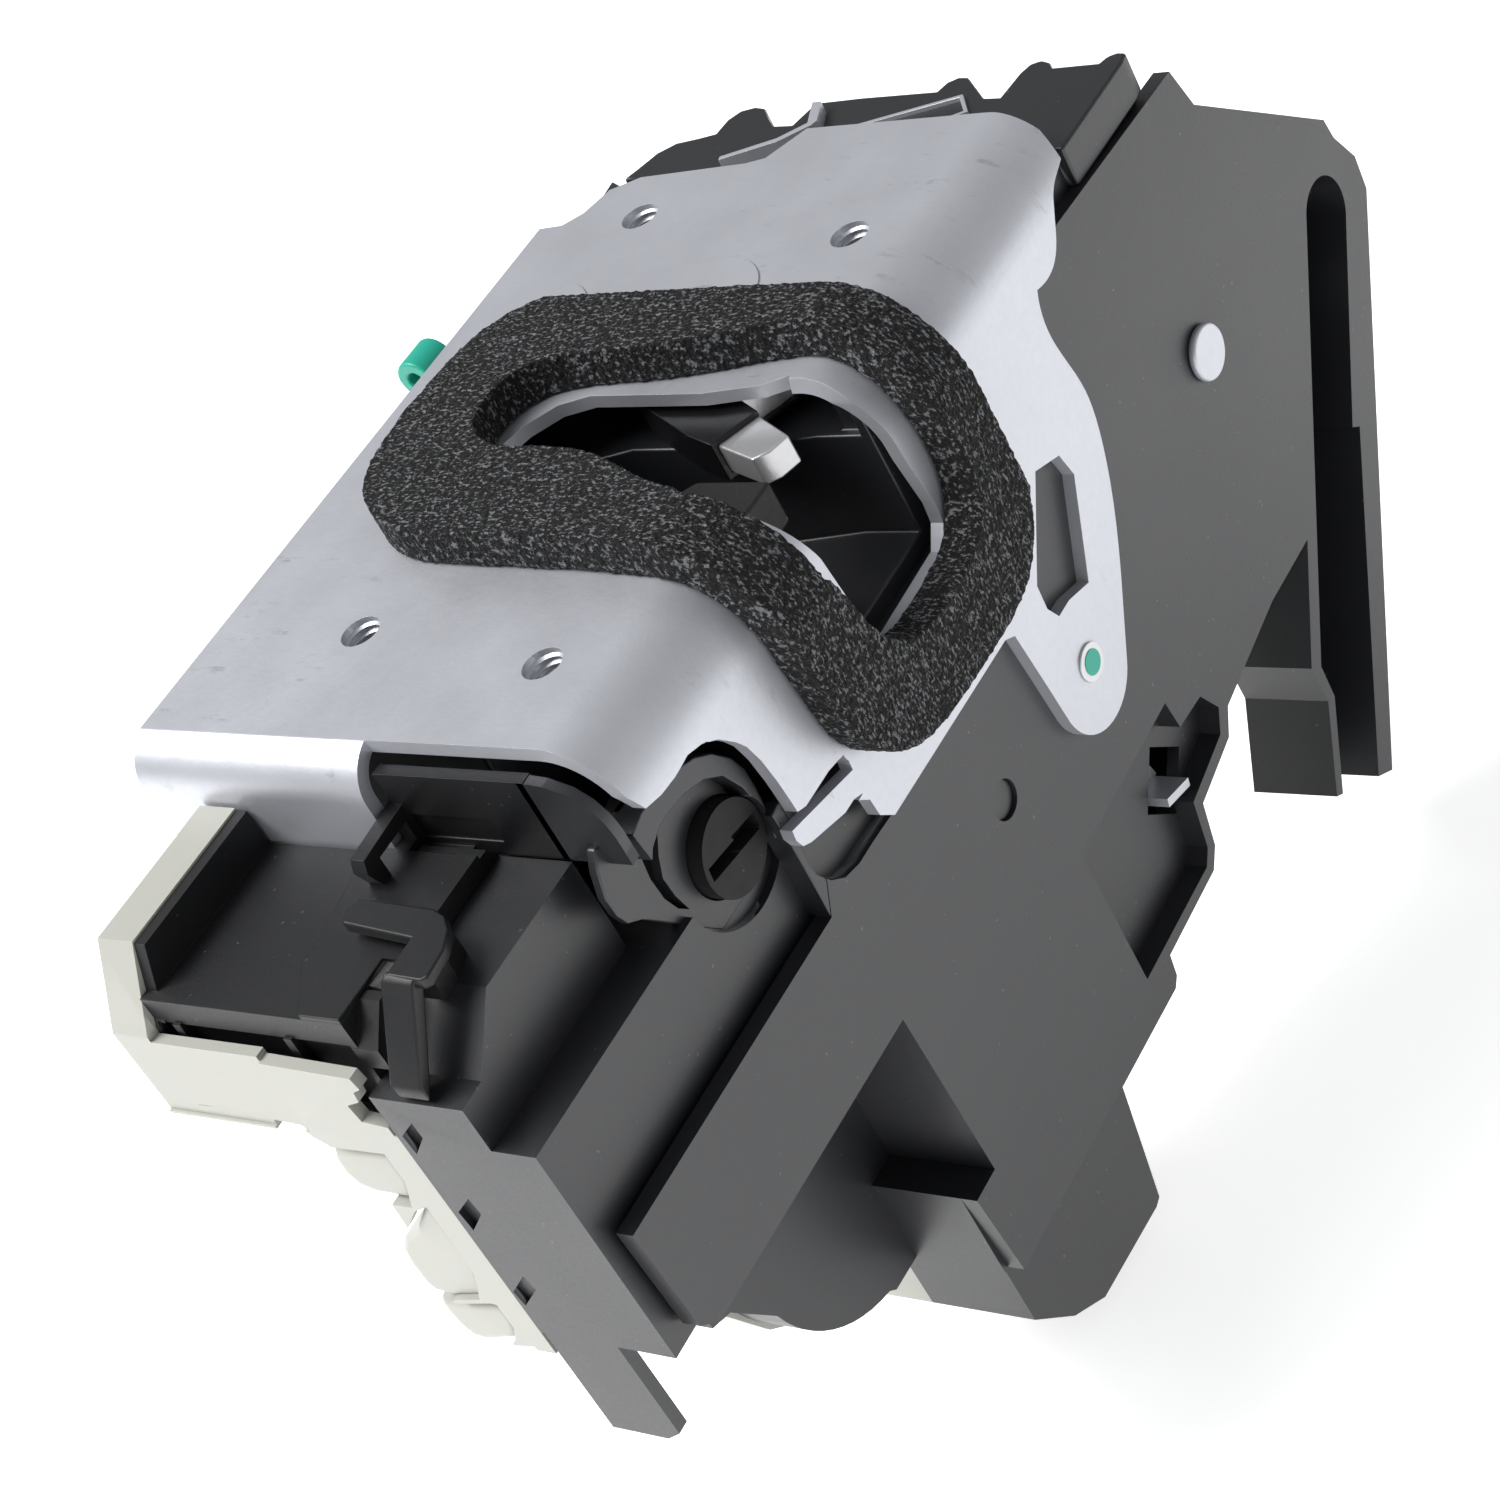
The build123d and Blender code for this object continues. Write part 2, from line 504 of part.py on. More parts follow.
with BuildPart() as rear_cover:
    block(cover_edge, parting, cover_back)
    with BuildSketch(side_plane(parting)):
        Polygon(*cover_edge, align=None)
        offset(amount=-wall)
    extrude(amount=cover_back - parting + wall, mode=Mode.SUBTRACT)
    block([(end_wall, -28.0), (-13.0, -28.0), (-13.0, -66.0), (end_wall, -66.0)], parting, parting - 3.0)
    for high, low in bulges:
        block([(end_wall + 0.6, high), (-13.0, high), (-13.0, low), (end_wall + 0.6, low)], parting - 2.0, cover_back)
        block([(end_wall + 2.4, high - wall), (-12.0, high - wall), (-12.0, low + wall), (end_wall + 2.4, low + wall)],
              parting, cover_back + wall, Mode.SUBTRACT)
    block([(end_wall, rear_face), (end_wall, -17.3), (-25.7, tray_rim + 0.3), (foot_clear, tray_rim + 0.3),
           (foot_clear, -foot_drop - 0.3), (-0.5, -foot_drop - 0.3), (-0.5, rear_face)], parting, box_left)
    block([(end_wall - 1, -28.0), (-30.0, -28.0), (-30.0, -5.0), (1.0, -5.0), (1.0, -28.0), (-2.3, -28.2),
           (-30.0, -28.2)], parting, tray_left, Mode.SUBTRACT)
    block([(end_wall - 1, -27.9), (-29.0, -27.9), (-29.0, -5.0), (end_wall - 1, -5.0)], parting, -39.7, Mode.SUBTRACT)
    rods(screw_posts, post_radius, parting, cover_back)
    rods(screw_posts, post_bore + 0.2, parting, cover_back, Mode.SUBTRACT)
    rods([wheel_place], 4.0, wheel_face - wheel_thickness - 0.1, cover_back)
    rods([wheel_place], 2.0, wheel_face - wheel_thickness - 0.1, cover_back + wall - 1.0, Mode.SUBTRACT)
    for rib in motor_ribs:
        block([(19.0, rib), (49.0, rib), (49.0, rib - 1.6), (19.0, rib - 1.6)], worm_x - motor_flat, cover_back + 1.0)
save(rear_cover.part, "rear_cover")

# Tray with the harness clip, in the box below the plate's foot
with BuildPart() as harness_tray:
    block([(-29.8, -27.9), (-29.8, -16.9), (-25.7, tray_rim), (foot_clear, tray_rim),
           (foot_clear, -foot_drop - 0.3), (-0.7, -foot_drop - 0.3), (-0.7, -27.9)], tray_left + wall, tray_left)
    block([(-29.3, -27.9), (-29.3, floor_level), (foot_clear, floor_level), (foot_clear, -foot_drop - 0.3),
           (-0.7, -foot_drop - 0.3), (-0.7, -27.9)], parting, tray_left)
    block([(-27.4, -27.9), (-27.4, floor_level - wall), (-2.5, floor_level - wall), (-2.5, -27.9)],
          parting - wall, tray_left + wall, Mode.SUBTRACT)
    block([(-2.3, -14.6), (-2.3, -2.9), (-0.7, -2.9), (-0.7, -14.6)], -11.5, -33.8)
    block([(-24.5, -14.6), (-22.6, -9.4), (-6.0, -9.4), (-2.0, -14.6)], -22.0, -31.6)
    block([(-24.0, -14.6), (-31.4, -21.3), (-31.4, -18.6), (-24.5, -11.5)], -22.0, -27.6)
    block([(-0.7, -7.4), (-10.6, -7.9), (-11.2, -9.5), (-9.2, -14.6), (-0.7, -14.6)], -32.2, -34.4)
    block([(-3.2, -9.4), (-8.6, -9.4), (-8.6, -12.0), (-3.2, -12.0)], -31.0, -35.0, Mode.SUBTRACT)
save(harness_tray.part, "harness_tray")

# Connector on the back, with two rows of blades
socket_right = cover_back
socket_left = -60.0
socket_mouth = 0.5
socket_end = 35.0
socket_high = -32.5
socket_low = -55.0
blade = 1.0

with BuildPart() as connector_shroud:
    block([(socket_mouth, socket_high), (socket_end, socket_high), (socket_end, socket_low),
           (socket_mouth, socket_low)], socket_right, socket_left)
    with BuildSketch(end_plane(socket_mouth)):
        with Locations(((socket_left + socket_right) / 2, (socket_high + socket_low) / 2)):
            RectangleRounded(socket_right - socket_left - 4, socket_high - socket_low - 4, 2.0)
    extrude(amount=-25.0, mode=Mode.SUBTRACT)
    with BuildSketch(end_plane(socket_end)):
        with Locations(((socket_left + socket_right) / 2, (socket_high + socket_low) / 2)):
            with GridLocations(2.6, 8.0, 6, 2):
                Rectangle(blade, blade)
    extrude(amount=12.0, mode=Mode.SUBTRACT)
save(connector_shroud.part, "connector_shroud")

with BuildPart() as connector_blades:
    with BuildSketch(end_plane(socket_end)):
        with Locations(((socket_left + socket_right) / 2, (socket_high + socket_low) / 2)):
            with GridLocations(2.6, 8.0, 6, 2):
                Rectangle(blade, blade)
    extrude(amount=22.0)
save(connector_blades.part, "connector_blades")

# Cover over the levers, beyond the plate's upper edge
crown = [(-76.0, 113.0), (-70.9, 110.2), (-71.8, 115.0), (-70.3, 120.0), (-65.0, 121.7), (-62.3, 122.6),
         (-60.0, 125.9), (-55.7, 125.4), (-52.2, 121.5), (-48.0, 121.5), (-49.6, 129.3), (-28.2, 128.1),
         (-25.5, 130.6), (-18.3, 126.5), (-18.2, 132.8), (panel_back, 131.5), (panel_back, 104.8),
         (-12.0, 104.8), (-12.0, 101.5), (-63.5, 101.5), (-74.5, 101.5)]
crown_face = -7.2
crown_hollow = [(-68.5, 103.5), (-68.5, 117.0), (-58.0, 121.5), (-50.0, 118.5), (-30.0, 125.0),
                (-6.0, 128.0), (-6.0, 107.0), (-14.0, 107.0), (-14.0, 103.5)]

with BuildPart() as lever_cover:
    with BuildSketch(face_plane(crown_face)):
        Polygon(*crown, align=None)
    extrude(amount=rear_face - crown_face)
    with BuildSketch(face_plane(crown_face - wall)):
        Polygon(*crown_hollow, align=None)
    extrude(amount=rear_face - crown_face + wall, mode=Mode.SUBTRACT)
save(lever_cover.part, "lever_cover")

# Small parts on the side
with BuildPart() as child_lock_disc:
    rods([disc_place], disc_radius, disc_face, disc_face - disc_depth)
    with BuildSketch(side_plane(disc_face)):
        with Locations(disc_place):
            Rectangle(9.4, 1.7, rotation=-8)
    extrude(amount=-2.4, mode=Mode.SUBTRACT)
save(child_lock_disc.part, "child_lock_disc")

with BuildPart() as flange_rivet:
    rods([flange_rivet_place], flange_rivet_radius + 0.85, 0.35, 0)
    rods([flange_rivet_place], flange_rivet_radius, 0, panel_back)
    rods([flange_rivet_place], flange_rivet_radius + 1.2, panel_back, panel_back - 0.8)
save(flange_rivet.part, "flange_rivet")

lever_front = panel_back - 3.9
with BuildPart() as lever_rivet:
    rods([rivet_place], rivet_head_radius, panel_face + 1.2, panel_face)
    rods([rivet_place], rivet_radius, panel_face, lever_front - lever_sheet - 0.2)
    rods([rivet_place], rivet_head_radius, lever_front - lever_sheet - 0.2, lever_front - lever_sheet - 1.2)
save(lever_rivet.part, "lever_rivet")

with BuildPart() as inside_release_lever:
    with BuildSketch(side_plane(lever_front)):
        with Locations(rivet_place):
            Circle(7.0)
        Polygon((121.0, -38.8), (148.6, -52.0), (150.6, -57.0), (148.0, -59.6), (142.0, -58.0), (117.0, -52.4),
                align=None)
        Polygon((116.0, -51.6), (106.0, -45.0), (105.0, -40.0), (109.0, -38.4), (121.0, -39.0), align=None)
        with Locations(rivet_place):
            Circle(rivet_radius + running_gap, mode=Mode.SUBTRACT)
        with Locations((146.6, -55.6)):
            Circle(1.6, mode=Mode.SUBTRACT)
    extrude(amount=-lever_sheet)
save(inside_release_lever.part, "inside_release_lever")

with BuildPart() as lock_pin:
    rods([lock_pivot], lock_pin_radius, panel_face - 0.6, lever_front - lever_sheet - 0.2)
    rods([lock_pivot], lock_pin_radius + 1.5, lever_front - lever_sheet - 0.2, lever_front - lever_sheet - 1.2)
save(lock_pin.part, "lock_pin")

with BuildPart() as lock_lever:
    with BuildSketch(side_plane(lever_front)):
        with Locations(lock_pivot):
            Circle(6.8)
        Polygon((55.5, -53.6), (82.0, -82.6), (83.0, -86.4), (79.4, -87.6), (76.0, -87.2), (45.6, -62.6), align=None)
        Polygon((50.0, -64.2), (30.0, -73.0), (26.0, -71.6), (29.0, -68.4), (45.0, -55.0), align=None)
        with Locations(lock_pivot):
            Circle(lock_pin_radius + running_gap, mode=Mode.SUBTRACT)
    extrude(amount=-lever_sheet)
    with BuildSketch(side_plane(lever_front)):
        with Locations((79.2, -85.8)):
            Rectangle(5.6, 1.2, rotation=-15)
    extrude(amount=panel_face - 0.8 - lever_front)
save(lock_lever.part, "lock_lever")

# Outside release lever under the back plate, and the clip for its rod
with BuildPart() as outside_release_lever:
    with BuildSketch(face_plane(lever_top)):
        with Locations(pawl_pivot):
            Circle(8.0)
        Polygon((-60.0, 80.0), (-plate_width - 3.0, 70.0), (-plate_width - 3.0, 61.6), (-66.0, 63.4),
                (-55.0, 66.0), align=None)
        Polygon((-64.0, 78.6), (-48.0, 88.0), (-44.6, 84.0), (-55.4, 66.6), align=None)
        with Locations(pawl_pivot):
            Circle(spigot_radius + running_gap, mode=Mode.SUBTRACT)
    extrude(amount=-lever_sheet)
    with BuildSketch(face_plane(lever_top)):
        Polygon((-plate_width - 3.0, 61.6), (-plate_width - 1.2, 61.6), (-plate_width - 1.2, 70.0),
                (-plate_width - 3.0, 70.0), align=None)
    extrude(amount=clip_level - clip_radius - lever_top)
save(outside_release_lever.part, "outside_release_lever")

with BuildPart() as rod_clip:
    with BuildSketch(end_plane(64.4)):
        with Locations((-plate_width - clip_radius - 0.2, clip_level)):
            Circle(clip_radius)
            Circle(clip_bore, mode=Mode.SUBTRACT)
    extrude(amount=-5.4)
save(rod_clip.part, "rod_clip")

# Locking drive: motor, worm and worm wheel
with BuildPart() as motor:
    with BuildSketch(face_plane(motor_top)):
        with Locations((worm_x, worm_y)):
            Circle(motor_radius)
            Rectangle(2 * motor_flat, 40.0, mode=Mode.INTERSECT)
            Circle(shaft_radius + running_gap, mode=Mode.SUBTRACT)
    extrude(amount=-motor_length)
save(motor.part, "motor")

with BuildPart() as worm:
    with BuildSketch(face_plane(-61.2)):
        with Locations((worm_x, worm_y)):
            Circle(shaft_radius)
    extrude(amount=motor_top - motor_length + 2.0 + 61.2)
    with BuildSketch(face_plane(-68.0)):
        with Locations((worm_x, worm_y)):
            Circle(worm_radius)
    extrude(amount=-26.0)
save(worm.part, "worm")

with BuildPart() as worm_wheel:
    with BuildSketch(side_plane(wheel_face)):
        with Locations(wheel_place):
            Circle(wheel_radius)
            with PolarLocations(wheel_radius, 36):
                Circle(0.7, mode=Mode.SUBTRACT)
            Circle(2.0 + running_gap, mode=Mode.SUBTRACT)
    extrude(amount=-wheel_thickness)
save(worm_wheel.part, "worm_wheel")

with BuildPart() as gear_pin:
    rods([wheel_place], 2.0, drum_face - wall + 1.0, cover_back + wall - 1.0)
save(gear_pin.part, "gear_pin")

# Electrics on the cover's floor
with BuildPart() as lead_frame:
    block([(22.0, -36.0), (92.0, -44.0), (100.0, -60.0), (92.0, -78.0), (58.0, -90.0), (58.0, -66.0),
           (34.0, -60.0), (22.0, -52.0)], cover_back + wall + 1.4, cover_back + wall)
    rods(screw_posts, post_radius + 0.6, parting, cover_back, Mode.SUBTRACT)
save(lead_frame.part, "lead_frame")

with BuildPart() as position_switches:
    for y, z in [(62.0, -78.0), (70.0, -52.0), (86.0, -68.0)]:
        block([(y - 6.4, z - 3.2), (y + 6.4, z - 3.2), (y + 6.4, z + 3.2), (y - 6.4, z + 3.2)],
              cover_back + wall + 1.4 + 6.5, cover_back + wall + 1.4)
save(position_switches.part, "position_switches")

with BuildPart() as cover_screws:
    rods(screw_posts, post_bore, parting + 10.0, cover_back)
    rods(screw_posts, 2.9, cover_back, cover_back - 1.9)
save(cover_screws.part, "cover_screws")
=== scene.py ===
import json
import math
import bpy
from mathutils import Matrix, Vector

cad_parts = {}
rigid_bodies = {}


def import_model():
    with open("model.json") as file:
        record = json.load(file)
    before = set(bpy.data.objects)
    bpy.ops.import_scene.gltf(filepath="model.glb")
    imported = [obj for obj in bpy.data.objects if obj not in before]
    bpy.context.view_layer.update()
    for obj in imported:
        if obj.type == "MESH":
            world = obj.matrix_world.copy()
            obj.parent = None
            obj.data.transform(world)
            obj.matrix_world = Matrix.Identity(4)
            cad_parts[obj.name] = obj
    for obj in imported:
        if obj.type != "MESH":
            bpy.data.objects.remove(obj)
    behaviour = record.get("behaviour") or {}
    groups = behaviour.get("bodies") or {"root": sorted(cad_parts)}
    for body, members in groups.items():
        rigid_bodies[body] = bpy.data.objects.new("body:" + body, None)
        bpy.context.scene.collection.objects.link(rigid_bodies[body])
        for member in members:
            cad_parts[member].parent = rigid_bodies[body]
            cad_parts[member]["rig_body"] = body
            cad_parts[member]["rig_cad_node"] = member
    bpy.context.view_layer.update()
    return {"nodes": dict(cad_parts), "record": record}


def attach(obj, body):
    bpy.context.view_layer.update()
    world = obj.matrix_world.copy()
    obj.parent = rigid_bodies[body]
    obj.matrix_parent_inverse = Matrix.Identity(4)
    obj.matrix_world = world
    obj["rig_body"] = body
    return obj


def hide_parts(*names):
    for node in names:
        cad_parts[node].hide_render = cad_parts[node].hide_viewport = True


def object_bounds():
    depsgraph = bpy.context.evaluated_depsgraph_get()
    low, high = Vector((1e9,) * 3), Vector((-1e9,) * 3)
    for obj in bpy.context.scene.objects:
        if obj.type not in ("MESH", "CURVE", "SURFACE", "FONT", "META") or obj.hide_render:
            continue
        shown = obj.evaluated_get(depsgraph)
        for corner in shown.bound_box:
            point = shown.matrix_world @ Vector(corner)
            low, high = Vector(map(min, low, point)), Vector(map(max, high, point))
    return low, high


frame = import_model()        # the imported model, in metres
nodes = frame["nodes"]
slotOf = {part["node"]: part["material_slot"] for part in frame["record"]["subparts"]}
mm = 0.001
plateCorner = {"x": 30 * mm, "y": -51 * mm}      # the outlines below are drawn in mm from this corner of the face plate


def spot(x, y, z):      # a point of an outline, in metres
    return Vector((x * mm + plateCorner["x"], y * mm + plateCorner["y"], z * mm))


camera = {
    "place": (0.2686, -0.2384, 0.1994), "lens": 84.34, "sensor": 36, "near": 0.01,
    "right": (0.7795, 0.4668, -0.4178), "up": (-0.0403, 0.7028, 0.7102), "back": (0.6251, -0.5368, 0.5666),
}
eye = bpy.data.objects.new("camera", bpy.data.cameras.new("camera"))
bpy.context.scene.collection.objects.link(eye)
eye.data.lens = camera["lens"]
eye.data.sensor_width = camera["sensor"]
eye.data.clip_start = camera["near"]
turn = Matrix((camera["right"], camera["up"], camera["back"])).transposed()
eye.matrix_world = Matrix.Translation(camera["place"]) @ turn.to_4x4()
bpy.context.scene.camera = eye
print("camera set")


class Wire:      # one output in a material, with sums as Python writes them
    def __init__(self, finish, socket):
        self.finish = finish
        self.socket = socket

    def sum(self, how, other, swapped=False):
        first, second = (other, self) if swapped else (self, other)
        return self.finish.node("ShaderNodeMath", {"operation": how}, {0: first, 1: second})

    def __add__(self, other):
        return self.sum("ADD", other)

    def __radd__(self, other):
        return self.sum("ADD", other, True)

    def __sub__(self, other):
        return self.sum("SUBTRACT", other)

    def __rsub__(self, other):
        return self.sum("SUBTRACT", other, True)

    def __mul__(self, other):
        return self.sum("MULTIPLY", other)

    def __rmul__(self, other):
        return self.sum("MULTIPLY", other, True)


class Finish:      # one material with its Principled shader
    def __init__(self, name, **fixed):
        self.material = bpy.data.materials.new(name)
        self.material.use_nodes = True
        self.tree = self.material.node_tree
        self.shader = self.tree.nodes["Principled BSDF"]
        for key, value in fixed.items():
            self.shader.inputs[key.replace("_", " ")].default_value = value
        self.place = self.node("ShaderNodeTexCoord", {}, {}, "Object")

    def node(self, kind, settings, values, output=0):
        made = self.tree.nodes.new(kind)
        for key, value in settings.items():
            if key == "stops":
                for stop, (at, grey) in zip(made.color_ramp.elements, value):
                    stop.position = at
                    stop.color = (grey, grey, grey, 1)
            else:
                setattr(made, key, value)
        for key, value in values.items():
            self.feed(made.inputs[key], value)
        return Wire(self, made.outputs[output])

    def feed(self, socket, value):
        if isinstance(value, Wire):
            self.tree.links.new(value.socket, socket)
        else:
            socket.default_value = value

    def noise(self, scale, detail=3.0, rough=0.5, along=(1, 1, 1), shift=(0, 0, 0)):
        where = self.node("ShaderNodeMapping", {}, {"Vector": self.place, "Scale": along, "Location": shift})
        values = {"Vector": where, "Scale": scale, "Detail": detail, "Roughness": rough}
        return self.node("ShaderNodeTexNoise", {}, values)

    def ramp(self, value, low, high):
        return self.node("ShaderNodeValToRGB", {"stops": [(low, 0.0), (high, 1.0)]}, {"Fac": value})

    def mix(self, share, first, second):
        return self.node("ShaderNodeMix", {"data_type": "RGBA"}, {"Factor": share, 6: first, 7: second}, 2)

    def bump(self, height, strength, distance, under=None):
        values = {"Height": height, "Strength": strength, "Distance": distance * mm}
        if under is not None:
            values["Normal"] = under
        return self.node("ShaderNodeBump", {}, values)

    def into(self, **links):
        for key, value in links.items():
            self.feed(self.shader.inputs[key.replace("_", " ")], value)
        return self.material


def tint(shade, share=1.0):
    return (shade[0] * share, shade[1] * share, shade[2] * share, 1.0)


# plated and bare steel: cloudy zinc, fine grain, and grey scuffs where blotches and streaks meet
zincLook = {
    "cloud": 55.0, "grain": 900.0, "pits": 2400.0, "blotch": 24.0, "streak": 120.0,      # sizes, as noise per metre
    "cloudBand": (0.35, 0.7), "grainBand": (0.40, 0.75), "streakBand": (0.60, 0.72), "blotchBand": (0.48, 0.62),
    "streakAlong": (1.0, 3.2, 1.0), "cloudShade": 0.94, "grainShade": 0.74, "grainShare": 0.14,
    "scuff": (0.17, 0.17, 0.185), "scuffShare": 0.5, "cloudRough": 0.16, "grainRough": 0.12, "blotchRough": 0.2,
    "bump": 0.10, "pitDepth": 0.1, "grainDepth": 0.2,
}


def makeZinc(name, shade, roughness, metallic, wear=1.0):
    look = zincLook
    zinc = Finish(name, Metallic=metallic)
    cloud = zinc.noise(look["cloud"], 4.0, 0.55)
    grain = zinc.noise(look["grain"], 3.0, 0.6)
    pits = zinc.noise(look["pits"], 2.0, 0.5)
    blotch = zinc.noise(look["blotch"], 5.0, 0.65, shift=(0.7, 0.4, 0.1))
    streak = zinc.noise(look["streak"], 6.0, 0.72, look["streakAlong"], (0.3, 0.1, 0.2))
    scuff = zinc.ramp(streak, *look["streakBand"]) * zinc.ramp(blotch, *look["blotchBand"])
    base = zinc.mix(zinc.ramp(cloud, *look["cloudBand"]), tint(shade, look["cloudShade"]), tint(shade))
    specks = zinc.ramp(grain, *look["grainBand"]) * look["grainShare"]
    base = zinc.mix(specks, base, tint(shade, look["grainShade"]))
    base = zinc.mix(scuff * (look["scuffShare"] * wear), base, tint(look["scuff"]))
    rough = roughness + (cloud - 0.5) * look["cloudRough"] + (grain - 0.5) * look["grainRough"]
    rough = rough + (blotch - 0.5) * look["blotchRough"]
    height = zinc.bump(pits, look["bump"], look["pitDepth"], zinc.bump(grain, look["bump"], look["grainDepth"]))
    return zinc.into(Base_Color=base, Roughness=rough, Normal=height)


# moulded black nylon: a faint grain with some pale dust on it
nylonLook = {
    "cloud": 38.0, "grain": 2600.0, "dust": 1300.0, "dustBand": (0.775, 0.80), "dustTint": (0.25, 0.25, 0.26),
    "dustShare": 0.25, "darkShade": 0.86, "lightShade": 1.15, "cloudRough": 0.10, "grainRough": 0.16,
    "bump": 0.10, "grainDepth": 0.1,
}


def makeNylon(name, shade, roughness, gloss=0.5, grainScale=nylonLook["grain"], bump=nylonLook["bump"]):
    look = nylonLook
    nylon = Finish(name)
    nylon.shader.inputs["Specular IOR Level"].default_value = gloss
    cloud = nylon.noise(look["cloud"])
    grain = nylon.noise(grainScale, 2.0, 0.6)
    dust = nylon.ramp(nylon.noise(look["dust"], 1.0, 0.4, shift=(0.5, 0.2, 0.9)), *look["dustBand"])
    base = nylon.mix(cloud, tint(shade, look["darkShade"]), tint(shade, look["lightShade"]))
    base = nylon.mix(dust * look["dustShare"], base, tint(look["dustTint"]))
    rough = roughness + (cloud - 0.5) * look["cloudRough"] + (grain - 0.5) * look["grainRough"]
    return nylon.into(Base_Color=base, Roughness=rough, Normal=nylon.bump(grain, bump, look["grainDepth"]))


# open-cell foam: painted shade in the hollows between the cell walls and painted shadow in the dips of the fine noise,
# with painted highlights where light would catch the torn edges
foamLook = {
    "cells": 1700.0, "fine": 1250.0, "fineAlong": (1.0, 2.0, 1.0), "roughness": 0.95,
    "wall": (0.030, 0.031, 0.034), "hollowShade": (0.001, 0.001, 0.001), "hollowShadeBand": (0.15, 0.50),
    "shadow": (0.0005, 0.0005, 0.0005), "shadowBand": (0.44, 0.50),
    "paintedGlint": (0.18, 0.182, 0.192), "paintedGlintBand": (0.55, 0.61), "paintedGlintShare": 0.9,
    "cellBump": 0.85, "cellDepth": 0.4, "fineBump": 0.7, "fineDepth": 0.2,
}


def makeFoam(name):
    look = foamLook
    foam = Finish(name, Roughness=look["roughness"])
    cells = foam.node("ShaderNodeTexVoronoi", {"feature": "F1"}, {"Vector": foam.place, "Scale": look["cells"]})
    fine = foam.noise(look["fine"], 3.0, 0.70, look["fineAlong"])
    # painted shade: the hollows between the cells are darker than the cell walls
    base = foam.mix(foam.ramp(cells, *look["hollowShadeBand"]), tint(look["wall"]), tint(look["hollowShade"]))
    base = foam.mix(foam.ramp(fine, *look["shadowBand"]), tint(look["shadow"]), base)
    # painted highlight: pale glints on the torn edges of the cells
    base = foam.mix(foam.ramp(fine, *look["paintedGlintBand"]) * look["paintedGlintShare"], base, tint(look["paintedGlint"]))
    under = foam.bump(fine, look["fineBump"], look["fineDepth"])
    return foam.into(Base_Color=base, Normal=foam.bump(cells, look["cellBump"], look["cellDepth"], under))


# natural and green acetal: slightly see-through, cloudy and smooth
acetalLook = {
    "cloud": 30.0, "grain": 1500.0, "darkShade": 0.95, "cloudRough": 0.1, "bump": 0.05, "grainDepth": 0.1,
    "scatter": (0.004, 0.0035, 0.002),
}


def makeAcetal(name, shade, roughness, thin):
    look = acetalLook
    acetal = Finish(name)
    acetal.shader.inputs["Subsurface Weight"].default_value = thin
    acetal.shader.inputs["Subsurface Radius"].default_value = look["scatter"]
    cloud = acetal.noise(look["cloud"])
    grain = acetal.noise(look["grain"], 2.0)
    base = acetal.mix(cloud, tint(shade, look["darkShade"]), tint(shade))
    rough = roughness + (cloud - 0.5) * look["cloudRough"]
    height = acetal.bump(grain, look["bump"], look["grainDepth"])
    return acetal.into(Base_Color=base, Roughness=rough, Normal=height)


finishes = {
    "zinc_steel": makeZinc("zincSteel", (0.64, 0.65, 0.70), 0.42, 0.62),
    "dark_steel": makeZinc("darkSteel", (0.66, 0.66, 0.67), 0.30, 0.7, wear=0.3),
    "spring_steel": makeZinc("springSteel", (0.35, 0.35, 0.36), 0.3, 0.95, wear=0.2),
    "rivet_steel": makeZinc("rivetSteel", (0.72, 0.72, 0.73), 0.34, 0.7, wear=0.2),
    "motor_can": makeZinc("motorCan", (0.6, 0.6, 0.6), 0.25, 1.0, wear=0.1),
    "brass": makeZinc("brassStrip", (0.62, 0.47, 0.2), 0.3, 1.0, wear=0.2),
    "black_plastic": makeNylon("blackNylon", (0.0115, 0.0122, 0.0148), 0.41, gloss=0.8),
    # painted shade: the tray's nylon is darker than the housing's black nylon, for the shade in the tray's bay
    "shaded_tray_plastic": makeNylon("shadedTrayNylon", (0.0062, 0.0065, 0.0075), 0.43),
    "jacket_plastic": makeNylon("jacketNylon", (0.005, 0.005, 0.006), 0.34, grainScale=900.0, bump=0.25),
    "disc_plastic": makeNylon("discNylon", (0.012, 0.012, 0.013), 0.55, gloss=0.25, grainScale=420.0, bump=0.45),
    "bumper_rubber": makeNylon("bumperRubber", (0.009, 0.009, 0.010), 0.6, grainScale=1200.0, bump=0.5),
    "natural_plastic": makeAcetal("naturalAcetal", (0.47, 0.469, 0.425), 0.36, thin=0.2),
    "green_plastic": makeAcetal("greenAcetal", (0.02, 0.42, 0.30), 0.36, thin=0.1),
    "foam": makeFoam("foam"),
}
print("finishes made", len(finishes))


def alone(piece):
    bpy.ops.object.select_all(action="DESELECT")
    piece.select_set(True)
    bpy.context.view_layer.objects.active = piece


def applyAll(piece):
    alone(piece)
    for modifier in list(piece.modifiers):
        bpy.ops.object.modifier_apply(modifier=modifier.name)


def faceOut():      # the active piece's faces, turned outwards
    bpy.ops.object.mode_set(mode="EDIT")
    bpy.ops.mesh.select_all(action="SELECT")
    bpy.ops.mesh.normals_make_consistent(inside=False)
    bpy.ops.object.mode_set(mode="OBJECT")


shading = {"smoothAngle": 35, "faceWeight": 90}      # flat faces stay flat beside their rounded edges


def dress(piece, slot, body, finish=None, soft=False):
    piece.data.materials.clear()
    piece.data.materials.append(finishes[finish or slot])
    alone(piece)
    bpy.ops.object.shade_smooth_by_angle(angle=math.radians(180 if soft else shading["smoothAngle"]))
    if not soft:
        weigh = piece.modifiers.new("weigh", "WEIGHTED_NORMAL")
        weigh.mode = "FACE_AREA"
        weigh.weight = shading["faceWeight"]
        weigh.keep_sharp = True
        applyAll(piece)
    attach(piece, body)


def bodyOf(name):
    return nodes[name]["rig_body"]


